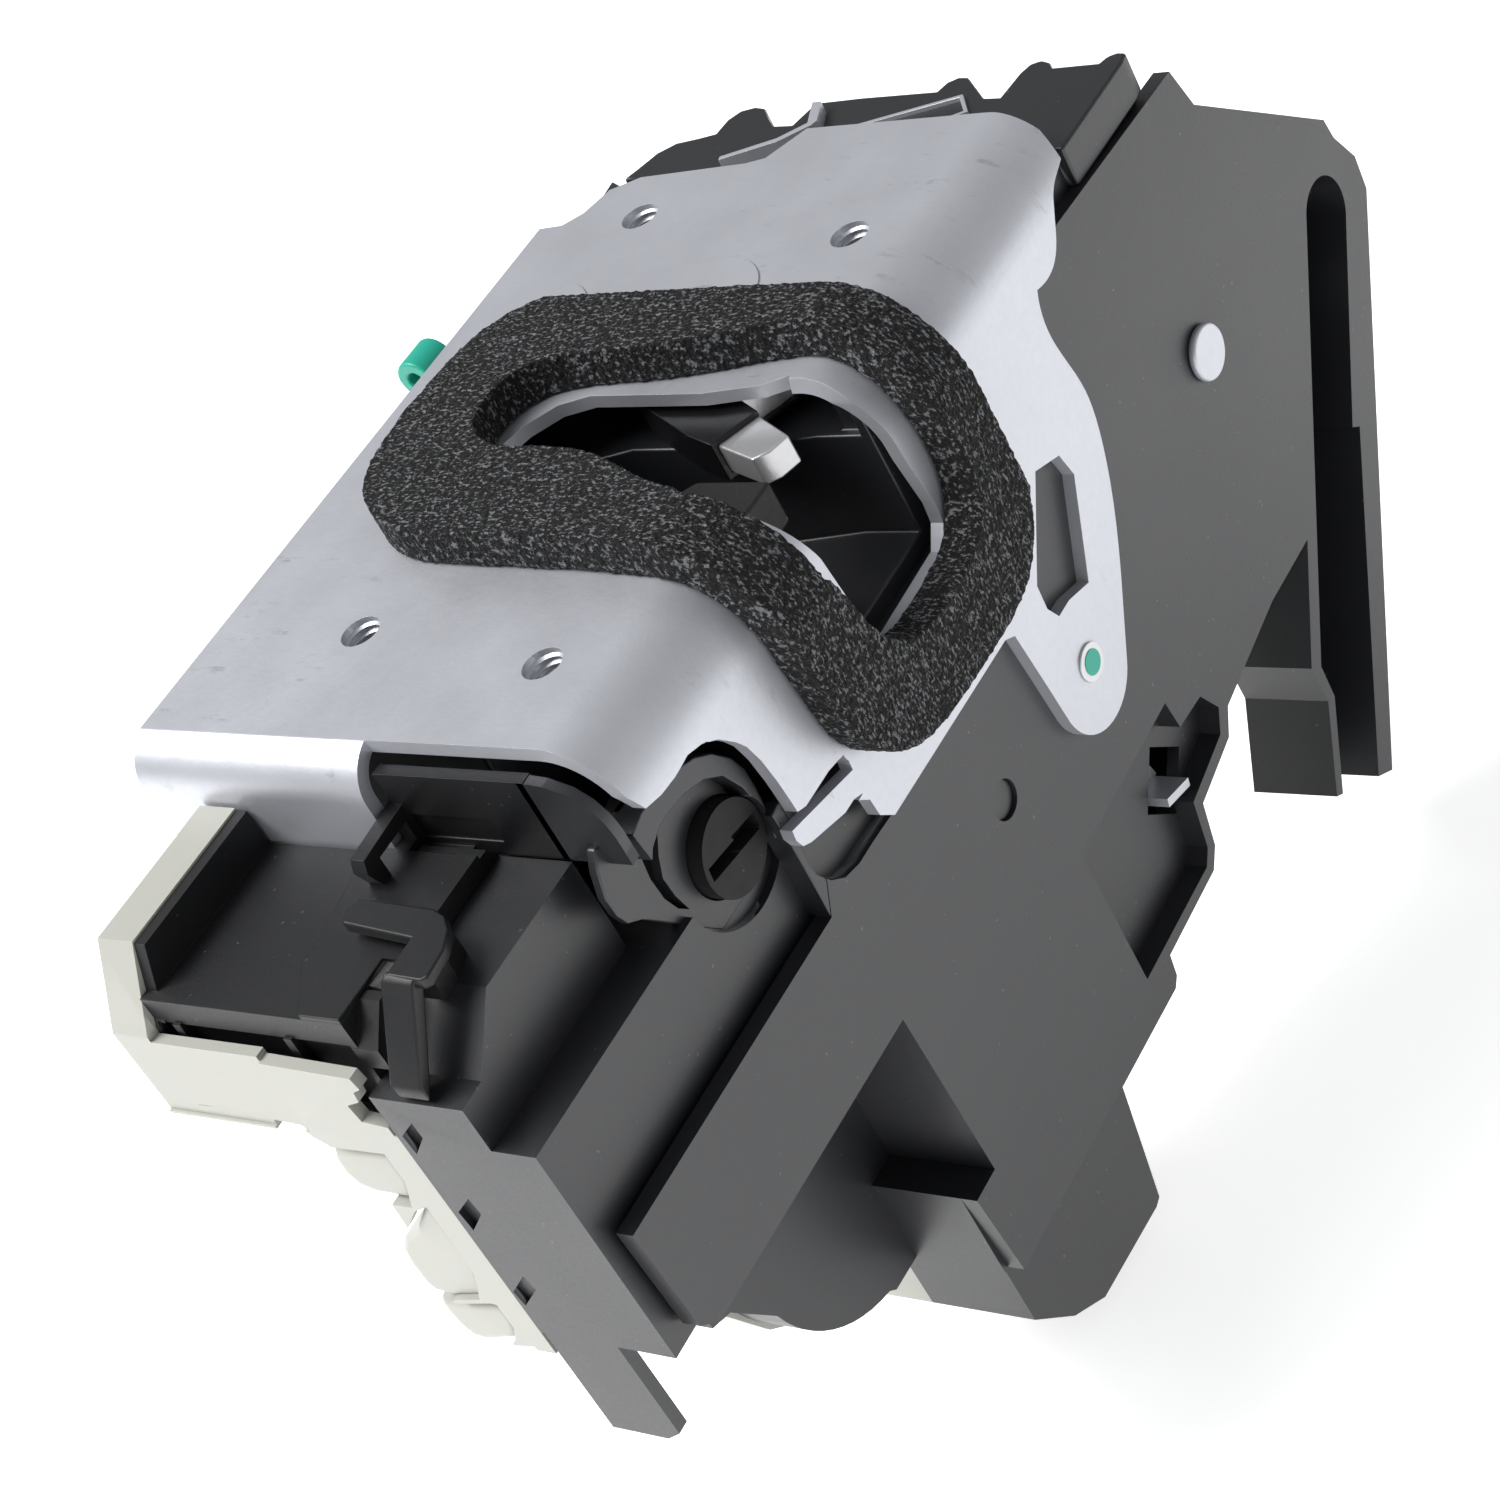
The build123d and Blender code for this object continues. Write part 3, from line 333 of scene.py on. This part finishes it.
def copyNode(name, pieceName):      # a CAD node's mesh as one closed skin, with its flat faces whole
    piece = nodes[name].copy()
    piece.data = nodes[name].data.copy()
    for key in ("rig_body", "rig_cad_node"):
        if key in piece:
            del piece[key]
    piece.parent = None
    piece.name = pieceName
    piece.data.name = pieceName
    bpy.context.scene.collection.objects.link(piece)
    alone(piece)
    bpy.ops.object.mode_set(mode="EDIT")
    bpy.ops.mesh.select_all(action="SELECT")
    bpy.ops.mesh.remove_doubles(threshold=0.002 * mm)
    bpy.ops.mesh.dissolve_limited(angle_limit=math.radians(0.6))
    bpy.ops.object.mode_set(mode="OBJECT")
    return piece


def beveled(piece, width, segments=2, angle=32):
    bevel = piece.modifiers.new("edge", "BEVEL")
    bevel.width = width * mm
    bevel.segments = segments
    bevel.limit_method = "ANGLE"
    bevel.angle_limit = math.radians(angle)
    applyAll(piece)
    return piece


faces = {      # where an outline's two numbers and its level go
    "side": lambda a, b, level: spot(level, a, b),
    "top": lambda a, b, level: spot(a, b, level),
    "end": lambda a, b, level: spot(a, level, b),
}


def slab(form, name="slab"):      # a form is an outline in mm, thick from one level to the other
    lay, outline = faces[form["face"]], form["outline"]
    first, last = form["levels"]
    bpy.ops.object.select_all(action="DESELECT")
    bpy.ops.mesh.primitive_circle_add(vertices=len(outline), radius=0.01, fill_type="NGON")
    piece = bpy.context.object
    piece.name = name
    for corner, (a, b) in zip(piece.data.vertices, outline):
        corner.co = lay(a, b, first)
    bpy.ops.object.mode_set(mode="EDIT")
    bpy.ops.mesh.select_all(action="SELECT")
    bpy.ops.mesh.extrude_region_move(TRANSFORM_OT_translate={"value": lay(0, 0, last) - lay(0, 0, first)})
    bpy.ops.object.mode_set(mode="OBJECT")
    faceOut()
    if "round" in form:
        beveled(piece, form["round"], form.get("segments", 2), 60 if "segments" in form else 40)
    return piece


def combine(piece, form, how):
    other = slab(form)
    alone(piece)
    join = piece.modifiers.new(how, "BOOLEAN")
    join.operation = how
    join.solver = "EXACT"
    join.object = other
    bpy.ops.object.modifier_apply(modifier=join.name)
    bpy.data.objects.remove(other)


def cut(piece, form):
    combine(piece, form, "DIFFERENCE")


def add(piece, form):
    combine(piece, form, "UNION")


def rounded(name, width):      # a copy of a CAD node with moulded or sheared edges
    return beveled(copyNode(name, name + "_rounded"), width)


replaced = []


def standIn(piece, name, finish=None, soft=False):
    dress(piece, slotOf[name], bodyOf(name), finish, soft)
    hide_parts(name)
    replaced.append(name)
    print("finished", piece.name)


def ring(middle, radius, count=48):
    steps = [2 * math.pi * k / count for k in range(count)]
    return [(middle[0] + radius * math.cos(a), middle[1] + radius * math.sin(a)) for a in steps]


def turned(outline, middle, degrees):
    c, s = math.cos(math.radians(degrees)), math.sin(math.radians(degrees))
    return [(middle[0] + a * c - b * s, middle[1] + a * s + b * c) for a, b in outline]


# face plate: the arched edge round the turn knob, and the finger of the flange below it
facePlate = {
    "edge": 0.32,
    "arch": {"face": "side", "levels": (-2.4, 0.6), "outline": [
        (0.0, -8.2), (0.9, -9.8), (3.9, -9.9), (6.9, -10.1), (9.6, -9.8), (12.1, -10.6), (14.4, -12.2),
        (16.3, -14.5), (17.3, -16.2), (18.1, -19.1), (18.6, -22.9), (18.8, -25.7), (18.9, -27.9), (20.4, -28.5),
        (25.9, -28.5), (28.3, -28.9), (29.3, -30.1), (29.2, -31.3), (29.0, -34.9), (16.0, -35.5), (10.0, -28.0),
        (0.0, -20.0), (-0.6, -12.0)]},
    "finger": {"face": "side", "levels": (0.0, -1.8), "outline": [
        (16.8, -28.8), (28.9, -31.5), (30.5, -31.8), (30.5, -36.0), (28.8, -34.9), (27.1, -34.2), (25.0, -34.2),
        (18.4, -32.2), (17.1, -31.5), (16.6, -30.1)]},
}
plate = rounded("face_plate", facePlate["edge"])
cut(plate, facePlate["arch"])
add(plate, facePlate["finger"])
standIn(plate, "face_plate")

# main housing: the raised band and flap round the knob's well, a groove, a scoop, snap notches and a back wall
knob = {
    "edge": 0.3, "place": (11.8, -26.7), "radius": 5.7, "gap": 0.25, "wellRadius": 9.4,
    "slotTurn": -8, "slotLevels": (-3.0, -6.2),
    "slot": [(-4.9, -0.9), (-4.9, 0.9), (0.4, 0.9), (0.1, 1.5), (4.8, 1.4), (4.9, -0.6), (0.2, -0.9)],
}
bandOuter = [(18.2, -30.6), (18.1, -26.9), (18.3, -23.6), (18.3, -20.7), (17.4, -18.1), (15.3, -15.3),
             (12.9, -13.6), (9.6, -12.3), (7.0, -11.8), (2.6, -11.8), (0.1, -12.5)]
bandInner = [(0.6, -17.0), (1.6, -16.0), (3.6, -15.2), (5.6, -15.0), (9.0, -15.4), (12.4, -16.6), (15.0, -18.6),
             (16.6, -22.0), (17.0, -26.7), (17.0, -30.5)]
flapEdge = [(-3.0, -11.8), (-4.3, -13.9), (-5.3, -17.1), (-5.2, -19.8), (-4.5, -21.7), (-2.6, -23.1),
            (-1.1, -24.9), (2.0, -29.0), (6.0, -34.0), (16.6, -34.0)]
mainHousing = {
    "edge": 0.32,
    "snapLevels": (-32.4, -30.9),
    "snaps": [
        [(-24.1, -27.7), (-21.0, -25.1), (-20.9, -27.5), (-23.9, -30.7)],
        [(-24.0, -40.5), (-20.7, -37.6), (-20.4, -40.2), (-23.7, -43.6)],
        [(-24.6, -54.6), (-20.9, -51.0), (-20.4, -53.3), (-24.2, -57.0)]],
    "well": {"face": "side", "levels": (-3.0, -6.2), "outline": ring(knob["place"], knob["wellRadius"])},
    "flap": {"face": "side", "levels": (-6.1, -7.4), "round": 0.25, "outline": flapEdge + bandOuter},
    "band": {"face": "side", "levels": (-3.2, -7.3), "round": 0.2, "outline": bandOuter + bandInner},
    "sideWall": {"face": "side", "levels": (-1.8, -5.2), "round": 0.2, "outline": [
        (16.9, -43.0), (17.1, -37.2), (17.2, -30.9), (17.0, -26.7), (18.9, -26.4), (18.8, -33.5), (19.1, -39.2)]},
    "crescent": {"face": "side", "levels": (-5.0, -8.5), "outline": [
        (6.5, -16.2), (4.6, -15.5), (2.7, -16.1), (1.7, -17.7), (1.2, -20.7), (1.4, -24.0), (2.3, -26.5),
        (3.6, -28.0), (2.9, -25.2), (2.7, -22.2), (3.8, -19.9), (5.3, -17.9)]},
    "scoop": {"face": "side", "levels": (-1.0, -3.9), "outline": [
        (18.6, -33.2), (17.9, -35.0), (18.2, -37.5), (19.6, -39.8), (21.7, -41.5), (24.6, -42.2), (28.2, -42.2),
        (32.4, -42.4), (34.0, -40.0), (31.5, -33.0), (29.0, -30.0), (20.0, -30.0)]},
    "bore": {"face": "side", "levels": (-3.0, -7.6), "outline": ring(knob["place"], knob["radius"] + knob["gap"])},
    "backWall": {"face": "end", "levels": (-2.3, -0.9), "outline": [
        (-12.5, -2.9), (-9.0, -3.3), (-6.0, -4.5), (-4.2, -6.2), (-3.2, -8.2), (-2.8, -10.4), (-2.8, -14.6),
        (-12.5, -14.6)]},
}
housing = rounded("main_housing", mainHousing["edge"])
for snap in mainHousing["snaps"]:
    cut(housing, {"face": "end", "levels": mainHousing["snapLevels"], "outline": snap})
cut(housing, mainHousing["well"])
add(housing, mainHousing["flap"])
add(housing, mainHousing["band"])
add(housing, mainHousing["sideWall"])
cut(housing, mainHousing["crescent"])
cut(housing, mainHousing["scoop"])
cut(housing, mainHousing["bore"])
add(housing, mainHousing["backWall"])
standIn(housing, "main_housing")

disc = rounded("child_lock_disc", knob["edge"])
discSlot = turned(knob["slot"], knob["place"], knob["slotTurn"])
cut(disc, {"face": "side", "levels": knob["slotLevels"], "outline": discSlot})
standIn(disc, "child_lock_disc", "disc_plastic")

# rear cover: a thin pale strip with windows, behind which the pouches stand
rearCover = {
    "edge": 0.7,
    "behindStrip": {"face": "end", "levels": (-32.5, -13.4), "outline": [
        (-28.1, -28.2), (-45, -28.2), (-45, -69), (-28.1, -69)]},
    "strip": {"face": "end", "levels": (-31.8, -30.2), "outline": [
        (-56.4, -17.55), (-26.0, -18.7), (-25.6, -20.4), (-27.0, -21.1), (-27.3, -22.7), (-29.6, -23.6),
        (-29.2, -26.2), (-25.5, -26.6), (-25.1, -63.1), (-27.4, -65.3), (-36.1, -66.8), (-37.5, -64.0),
        (-36.5, -58.5), (-35.0, -46.1), (-34.6, -40.3), (-38.1, -31.6), (-39.7, -30.4), (-40.7, -29.1),
        (-56.4, -27.9)]},
    "setBack": {"face": "end", "levels": (-32.5, -31.45), "outline": [
        (-63, -16), (-39.5, -17), (-39.5, -29.6), (-63, -29.6)]},
    "lowWall": {"face": "side", "levels": (-56.6, -39.0), "outline": [
        (-33, -17.5), (-33, -10), (-29.95, -10), (-29.95, -17.5)]},
    "windowLevels": (-32.4, -29.6),
    "windows": [
        [(-45, -32.2), (-29.4, -31.6), (-29.3, -36.2), (-31.5, -41.2), (-45, -41.4)],
        [(-45, -47.0), (-36.0, -46.5), (-31.5, -41.8), (-28.9, -40.6), (-29.2, -52.4), (-31.5, -57.5),
         (-37.2, -59.0), (-45, -59.0)],
        [(-45, -59.5), (-37.5, -59.6), (-30.0, -57.9), (-29.2, -58.0), (-29.2, -62.2), (-31.0, -65.5),
         (-36.0, -68.5), (-45, -68.5)]],
}
cover = rounded("rear_cover", rearCover["edge"])
cut(cover, rearCover["behindStrip"])
add(cover, rearCover["strip"])
cut(cover, rearCover["setBack"])
for window in rearCover["windows"]:
    cut(cover, {"face": "end", "levels": rearCover["windowLevels"], "outline": window})
cut(cover, rearCover["lowWall"])
standIn(cover, "rear_cover")

# the pouches of the rear cover, each joined to the strip's back by a rib
pouch = {
    "levels": (-31.0, -15.0), "round": 1.4, "segments": 4,
    "ribLevels": (-29.0, -15.0), "ribAcross": (-30.5, -27.9), "ribLift": 2.5, "ribHeight": 4,
    "outlines": [
        [(-29.9, -32.4), (-39.4, -33.1), (-40.7, -35.4), (-40.8, -37.9), (-39.8, -40.2), (-37.1, -41.2),
         (-31.5, -41.2), (-29.9, -38.0)],
        [(-29.7, -41.5), (-31.2, -42.2), (-35.6, -47.1), (-38.8, -49.2), (-40.4, -51.2), (-40.9, -53.9),
         (-40.8, -57.3), (-40.0, -59.0), (-37.2, -59.3), (-31.5, -58.0), (-29.7, -53.0)],
        [(-29.8, -59.0), (-37.3, -60.2), (-40.9, -60.1), (-41.1, -62.3), (-40.7, -65.2), (-39.5, -67.5),
         (-37.2, -67.9), (-31.0, -66.0), (-29.8, -62.5)]],
}
for number, outline in enumerate(pouch["outlines"]):
    form = {"face": "end", "levels": pouch["levels"], "outline": outline, "round": pouch["round"],
            "segments": pouch["segments"]}
    bag = slab(form, "cover_pouch_" + str(number))
    low = min(z for x, z in outline) + pouch["ribLift"]
    top = low + pouch["ribHeight"]
    left, right = pouch["ribAcross"]
    rib = [(left, top), (right, top), (right, low), (left, low)]
    add(bag, {"face": "end", "levels": pouch["ribLevels"], "outline": rib})
    dress(bag, "natural_plastic", bodyOf("rear_cover"))
print("pouches made")

# harness tray: emptied, then its floor's step, the lap of the shelf, the hooked clip and two front ribs
harnessTray = {
    "edge": 0.35,
    "inside": {"face": "side", "levels": (-35.0, -20.0), "outline": [
        (-33, -24), (-33, -9.0), (-24.0, -9.0), (-12.4, -9.0), (-12.4, -12.65), (-29.35, -12.65), (-29.35, -24)]},
    "insideUpper": {"face": "side", "levels": (-31.9, -20.0), "outline": [
        (-12.5, -9.0), (-1.9, -9.0), (-1.9, -12.65), (-12.5, -12.65)]},
    "floorStep": {"face": "top", "levels": (-12.8, -12.0), "round": 0.15, "outline": [
        (-31.0, -29.3), (-35.7, -22.4), (-35.7, -21.6), (-37.5, -9.7), (-37.5, -4.9), (-25.0, -4.9),
        (-25.0, -29.3)]},
    "hookPlate": {"face": "top", "levels": (-11.0, -9.4), "round": 0.3, "outline": [
        (-31.0, -18.2), (-31.7, -16.4), (-31.2, -14.6), (-19.6, -15.0), (-17.4, -15.8), (-15.6, -17.6),
        (-14.3, -20.4), (-13.9, -24.2), (-14.6, -24.8), (-19.8, -24.6), (-19.9, -19.3)]},
    "hookStem": {"face": "top", "levels": (-10.9, -14.6), "outline": [
        (-21.5, -18.6), (-21.5, -16.4), (-17.0, -16.4), (-15.6, -20.0), (-15.4, -23.0), (-19.0, -23.0),
        (-19.0, -18.8)]},
    "hookArm": {"face": "side", "levels": (-15.6, -20.3), "round": 0.3, "outline": [
        (-24.0, -9.4), (-24.0, -11.2), (-25.0, -12.6), (-30.4, -19.7), (-31.6, -21.0), (-31.7, -18.9),
        (-25.4, -9.9)]},
    "shelfLap": {"face": "top", "levels": (-14.5, -12.0), "outline": [
        (-25.2, -4.9), (-21.9, -4.9), (-21.9, -20.4), (-25.2, -20.4)]},
    "front": {"face": "end", "levels": (-30.5, -28.5), "outline": [
        (-56.0, -16.2), (-26.0, -16.2), (-26.0, -27.0), (-56.0, -27.0)]},
    "leftRib": {"face": "end", "levels": (-29.7, -28.3), "outline": [
        (-53.4, -16.0), (-52.2, -16.0), (-52.2, -21.0), (-53.4, -21.0)]},
    "rightRib": {"face": "end", "levels": (-29.7, -28.3), "outline": [
        (-35.8, -16.0), (-34.6, -16.0), (-34.6, -21.5), (-35.8, -21.5)]},
}
tray = rounded("harness_tray", harnessTray["edge"])
cut(tray, harnessTray["inside"])
cut(tray, harnessTray["insideUpper"])
for part in ("floorStep", "hookPlate", "hookStem", "hookArm", "shelfLap"):
    add(tray, harnessTray[part])
cut(tray, harnessTray["front"])
add(tray, harnessTray["leftRib"])
add(tray, harnessTray["rightRib"])
# the tray wears the darker nylon, painted shade for its bay
standIn(tray, "harness_tray", "shaded_tray_plastic")

# lever cover: a front with rounded bosses in place of the CAD's corners, and two steel edges that stand on it
leverCover = {
    "edge": 0.5,
    "oldFront": {"face": "top", "levels": (-6.0, -13.0), "outline": [
        (-80, 117.2), (-80, 140), (1, 140), (1, 117.2)]},
    "front": {"face": "top", "levels": (-7.2, -13.1), "round": 0.45, "outline": [
        (-74.0, 113.0), (-72.8, 115.6), (-71.6, 118.6), (-69.4, 120.6), (-66.0, 121.3), (-63.4, 122.0),
        (-63.2, 125.0), (-62.0, 126.9), (-59.8, 127.5), (-57.9, 127.0), (-55.9, 124.6), (-53.8, 122.6),
        (-50.6, 122.4), (-49.6, 126.2), (-48.6, 127.1), (-41.8, 127.3), (-29.6, 127.1), (-29.0, 129.0),
        (-27.6, 129.9), (-26.0, 129.7), (-20.9, 124.6), (-18.3, 124.4), (-17.9, 129.4), (-17.3, 131.3),
        (-15.8, 132.0), (-14.2, 131.3), (-13.2, 130.0), (-6.2, 130.0), (-5.6, 131.4), (-4.4, 132.0),
        (-3.0, 131.8), (-2.6, 129.6), (-2.6, 112.0)]},
    "leverEdge": {"face": "top", "levels": (-8.0, -5.4), "round": 0.12, "outline": [
        (-47.5, 124.5), (-46.0, 124.5), (-44.2, 120.2), (-44.6, 119.2), (-48.6, 116.0), (-56.5, 113.0),
        (-56.7, 113.8), (-49.0, 116.9), (-45.6, 119.8)]},
    "seam": {"face": "top", "levels": (-8.0, -6.6), "round": 0.1, "outline": [
        (-40.2, 119.0), (-24.2, 124.2), (-21.9, 121.1), (-27.0, 118.5), (-26.8, 118.0), (-21.1, 120.9),
        (-24.0, 124.9), (-40.4, 119.6)]},
}
lid = rounded("lever_cover", leverCover["edge"])
cut(lid, leverCover["oldFront"])
add(lid, leverCover["front"])
standIn(lid, "lever_cover")
dress(slab(leverCover["leverEdge"], "lever_edge"), "zinc_steel", bodyOf("lever_cover"))
dress(slab(leverCover["seam"], "cover_seam"), "zinc_steel", bodyOf("lever_cover"))

# nodes whose edges alone are rounded, in mm
plainEdges = {
    "back_plate": 0.25, "latch_housing": 0.4, "claw_core": 0.3, "claw_jacket": 0.5, "connector_shroud": 0.4,
    "lever_rivet": 0.4, "lock_pin": 0.25, "rod_clip": 0.4, "outside_release_lever": 0.2,
    "inside_release_lever": 0.2, "lock_lever": 0.2, "mouth_bumper": 0.5,
}
for name, width in plainEdges.items():
    standIn(rounded(name, width), name)

# the flange's rivet has a bright head with a green mark
rivet = {"edge": 0.12, "place": (72.4, -55.9), "markRadius": 1.7, "markLevels": (0.34, 0.46), "markRound": 0.05}
standIn(rounded("flange_rivet", rivet["edge"]), "flange_rivet", "rivet_steel")
mark = {"face": "side", "levels": rivet["markLevels"], "round": rivet["markRound"],
        "outline": ring(rivet["place"], rivet["markRadius"], 32)}
dress(slab(mark, "rivet_mark"), "green_plastic", bodyOf("flange_rivet"))

# the threads in the plate's four tapped holes
thread = {
    "radius": 2.62, "depth": 0.42, "sunk": 0.1, "halfTooth": 0.42, "pitch": 1.0, "turns": 4, "steps": 28,
    "start": -0.75, "places": [(-54.8, 94.0), (-17.5, 87.3), (-47.8, 17.0), (-17.0, 12.8)],
}
root = thread["radius"] + thread["sunk"]
tooth = [(root, thread["halfTooth"]), (root, -thread["halfTooth"]), (thread["radius"] - thread["depth"], 0)]
for number, (x, y) in enumerate(thread["places"]):
    bpy.ops.object.select_all(action="DESELECT")
    bpy.ops.mesh.primitive_circle_add(vertices=len(tooth), radius=0.001)
    turns = bpy.context.object
    turns.name = "screw_thread_" + str(number)
    for corner, (out, up) in zip(turns.data.vertices, tooth):
        corner.co = Vector((out * mm, 0, up * mm))
    screw = turns.modifiers.new("turns", "SCREW")
    screw.screw_offset = -thread["pitch"] * mm
    screw.iterations = thread["turns"]
    screw.steps = thread["steps"]
    screw.render_steps = thread["steps"]
    applyAll(turns)
    faceOut()
    turns.data.transform(Matrix.Translation(spot(x, y, thread["start"])))
    dress(turns, "zinc_steel", bodyOf("face_plate"))
print("threads made")

# foam seal: rough open cells over a slightly swollen ring
foamSeal = {"cell": 0.34, "soften": 0.5, "ripple": 0.42, "rippleMiddle": 0.62, "pore": 0.8, "poreDetail": 3}
seal = copyNode("foam_seal", "foam_seal_cells")
remesh = seal.modifiers.new("cells", "REMESH")
remesh.mode = "VOXEL"
remesh.voxel_size = foamSeal["cell"] * mm
remesh.use_smooth_shade = True
soften = seal.modifiers.new("soften", "SMOOTH")
soften.factor = foamSeal["soften"]
soften.iterations = 1
pores = bpy.data.textures.new("foamPores", "CLOUDS")
pores.noise_scale = foamSeal["pore"] * mm
pores.noise_depth = foamSeal["poreDetail"]
push = seal.modifiers.new("pores", "DISPLACE")
push.texture = pores
push.texture_coords = "LOCAL"
push.strength = foamSeal["ripple"] * mm
push.mid_level = foamSeal["rippleMiddle"]
applyAll(seal)
standIn(seal, "foam_seal", soft=True)

for name, node in nodes.items():      # the inner parts keep their CAD mesh
    if name not in replaced:
        node.data.materials.clear()
        node.data.materials.append(finishes[slotOf[name]])
print("inner parts finished")

# floor and light
studio = {
    "floorSize": 6, "floorDrop": 0.004, "paperGlow": 0.66, "paperTints": ((0.93, 0.93, 0.93), (0.95, 0.95, 0.95)),
    "roomTint": (0.96, 0.98, 1.0), "roomLight": 0.30, "aim": (0, 0, -0.05),
    "lamps": {
        "keyLight": {"place": (-0.45, -0.35, 0.80), "size": (0.8, 0.6), "power": 13.0},
        "sideLight": {"place": (0.85, 0.15, 0.30), "size": (0.5, 0.7), "power": 0.6},
        "lowLight": {"place": (0.35, -0.80, 0.05), "size": (0.6, 0.4), "power": 0.8},
    },
}
lowest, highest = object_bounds()
floorPlace = (0, 0, lowest[2] - studio["floorDrop"])
bpy.ops.mesh.primitive_plane_add(size=studio["floorSize"], location=floorPlace)
floor = bpy.context.object
floor.name = "floor"
paper = Finish("paper", Roughness=0.9, Emission_Strength=studio["paperGlow"], Emission_Color=(1, 1, 1, 1))
paperShade = paper.mix(paper.noise(2.0), *[tint(shade) for shade in studio["paperTints"]])
floor.data.materials.append(paper.into(Base_Color=paperShade))
for name, light in studio["lamps"].items():
    lamp = bpy.data.objects.new(name, bpy.data.lights.new(name, "AREA"))
    bpy.context.scene.collection.objects.link(lamp)
    lamp.data.shape = "RECTANGLE"
    lamp.data.size, lamp.data.size_y = light["size"]
    lamp.data.energy = light["power"]
    lamp.location = light["place"]
    beam = Vector(studio["aim"]) - Vector(light["place"])
    lamp.rotation_euler = beam.to_track_quat("-Z", "Y").to_euler()

# the room lights the part softly, and the backdrop behind it is white
world = bpy.data.worlds.new("studio")
bpy.context.scene.world = world
world.use_nodes = True
sky = world.node_tree
backdrop = sky.nodes["Background"]
backdrop.inputs["Color"].default_value = (1, 1, 1, 1)
room = sky.nodes.new("ShaderNodeBackground")
room.inputs["Color"].default_value = tint(studio["roomTint"])
room.inputs["Strength"].default_value = studio["roomLight"]
path = sky.nodes.new("ShaderNodeLightPath")
either = sky.nodes.new("ShaderNodeMixShader")
sky.links.new(path.outputs["Is Camera Ray"], either.inputs["Fac"])
sky.links.new(room.outputs["Background"], either.inputs[1])
sky.links.new(backdrop.outputs["Background"], either.inputs[2])
sky.links.new(either.outputs["Shader"], sky.nodes["World Output"].inputs["Surface"])
bpy.context.scene.view_settings.view_transform = "Standard"
print("lights set")
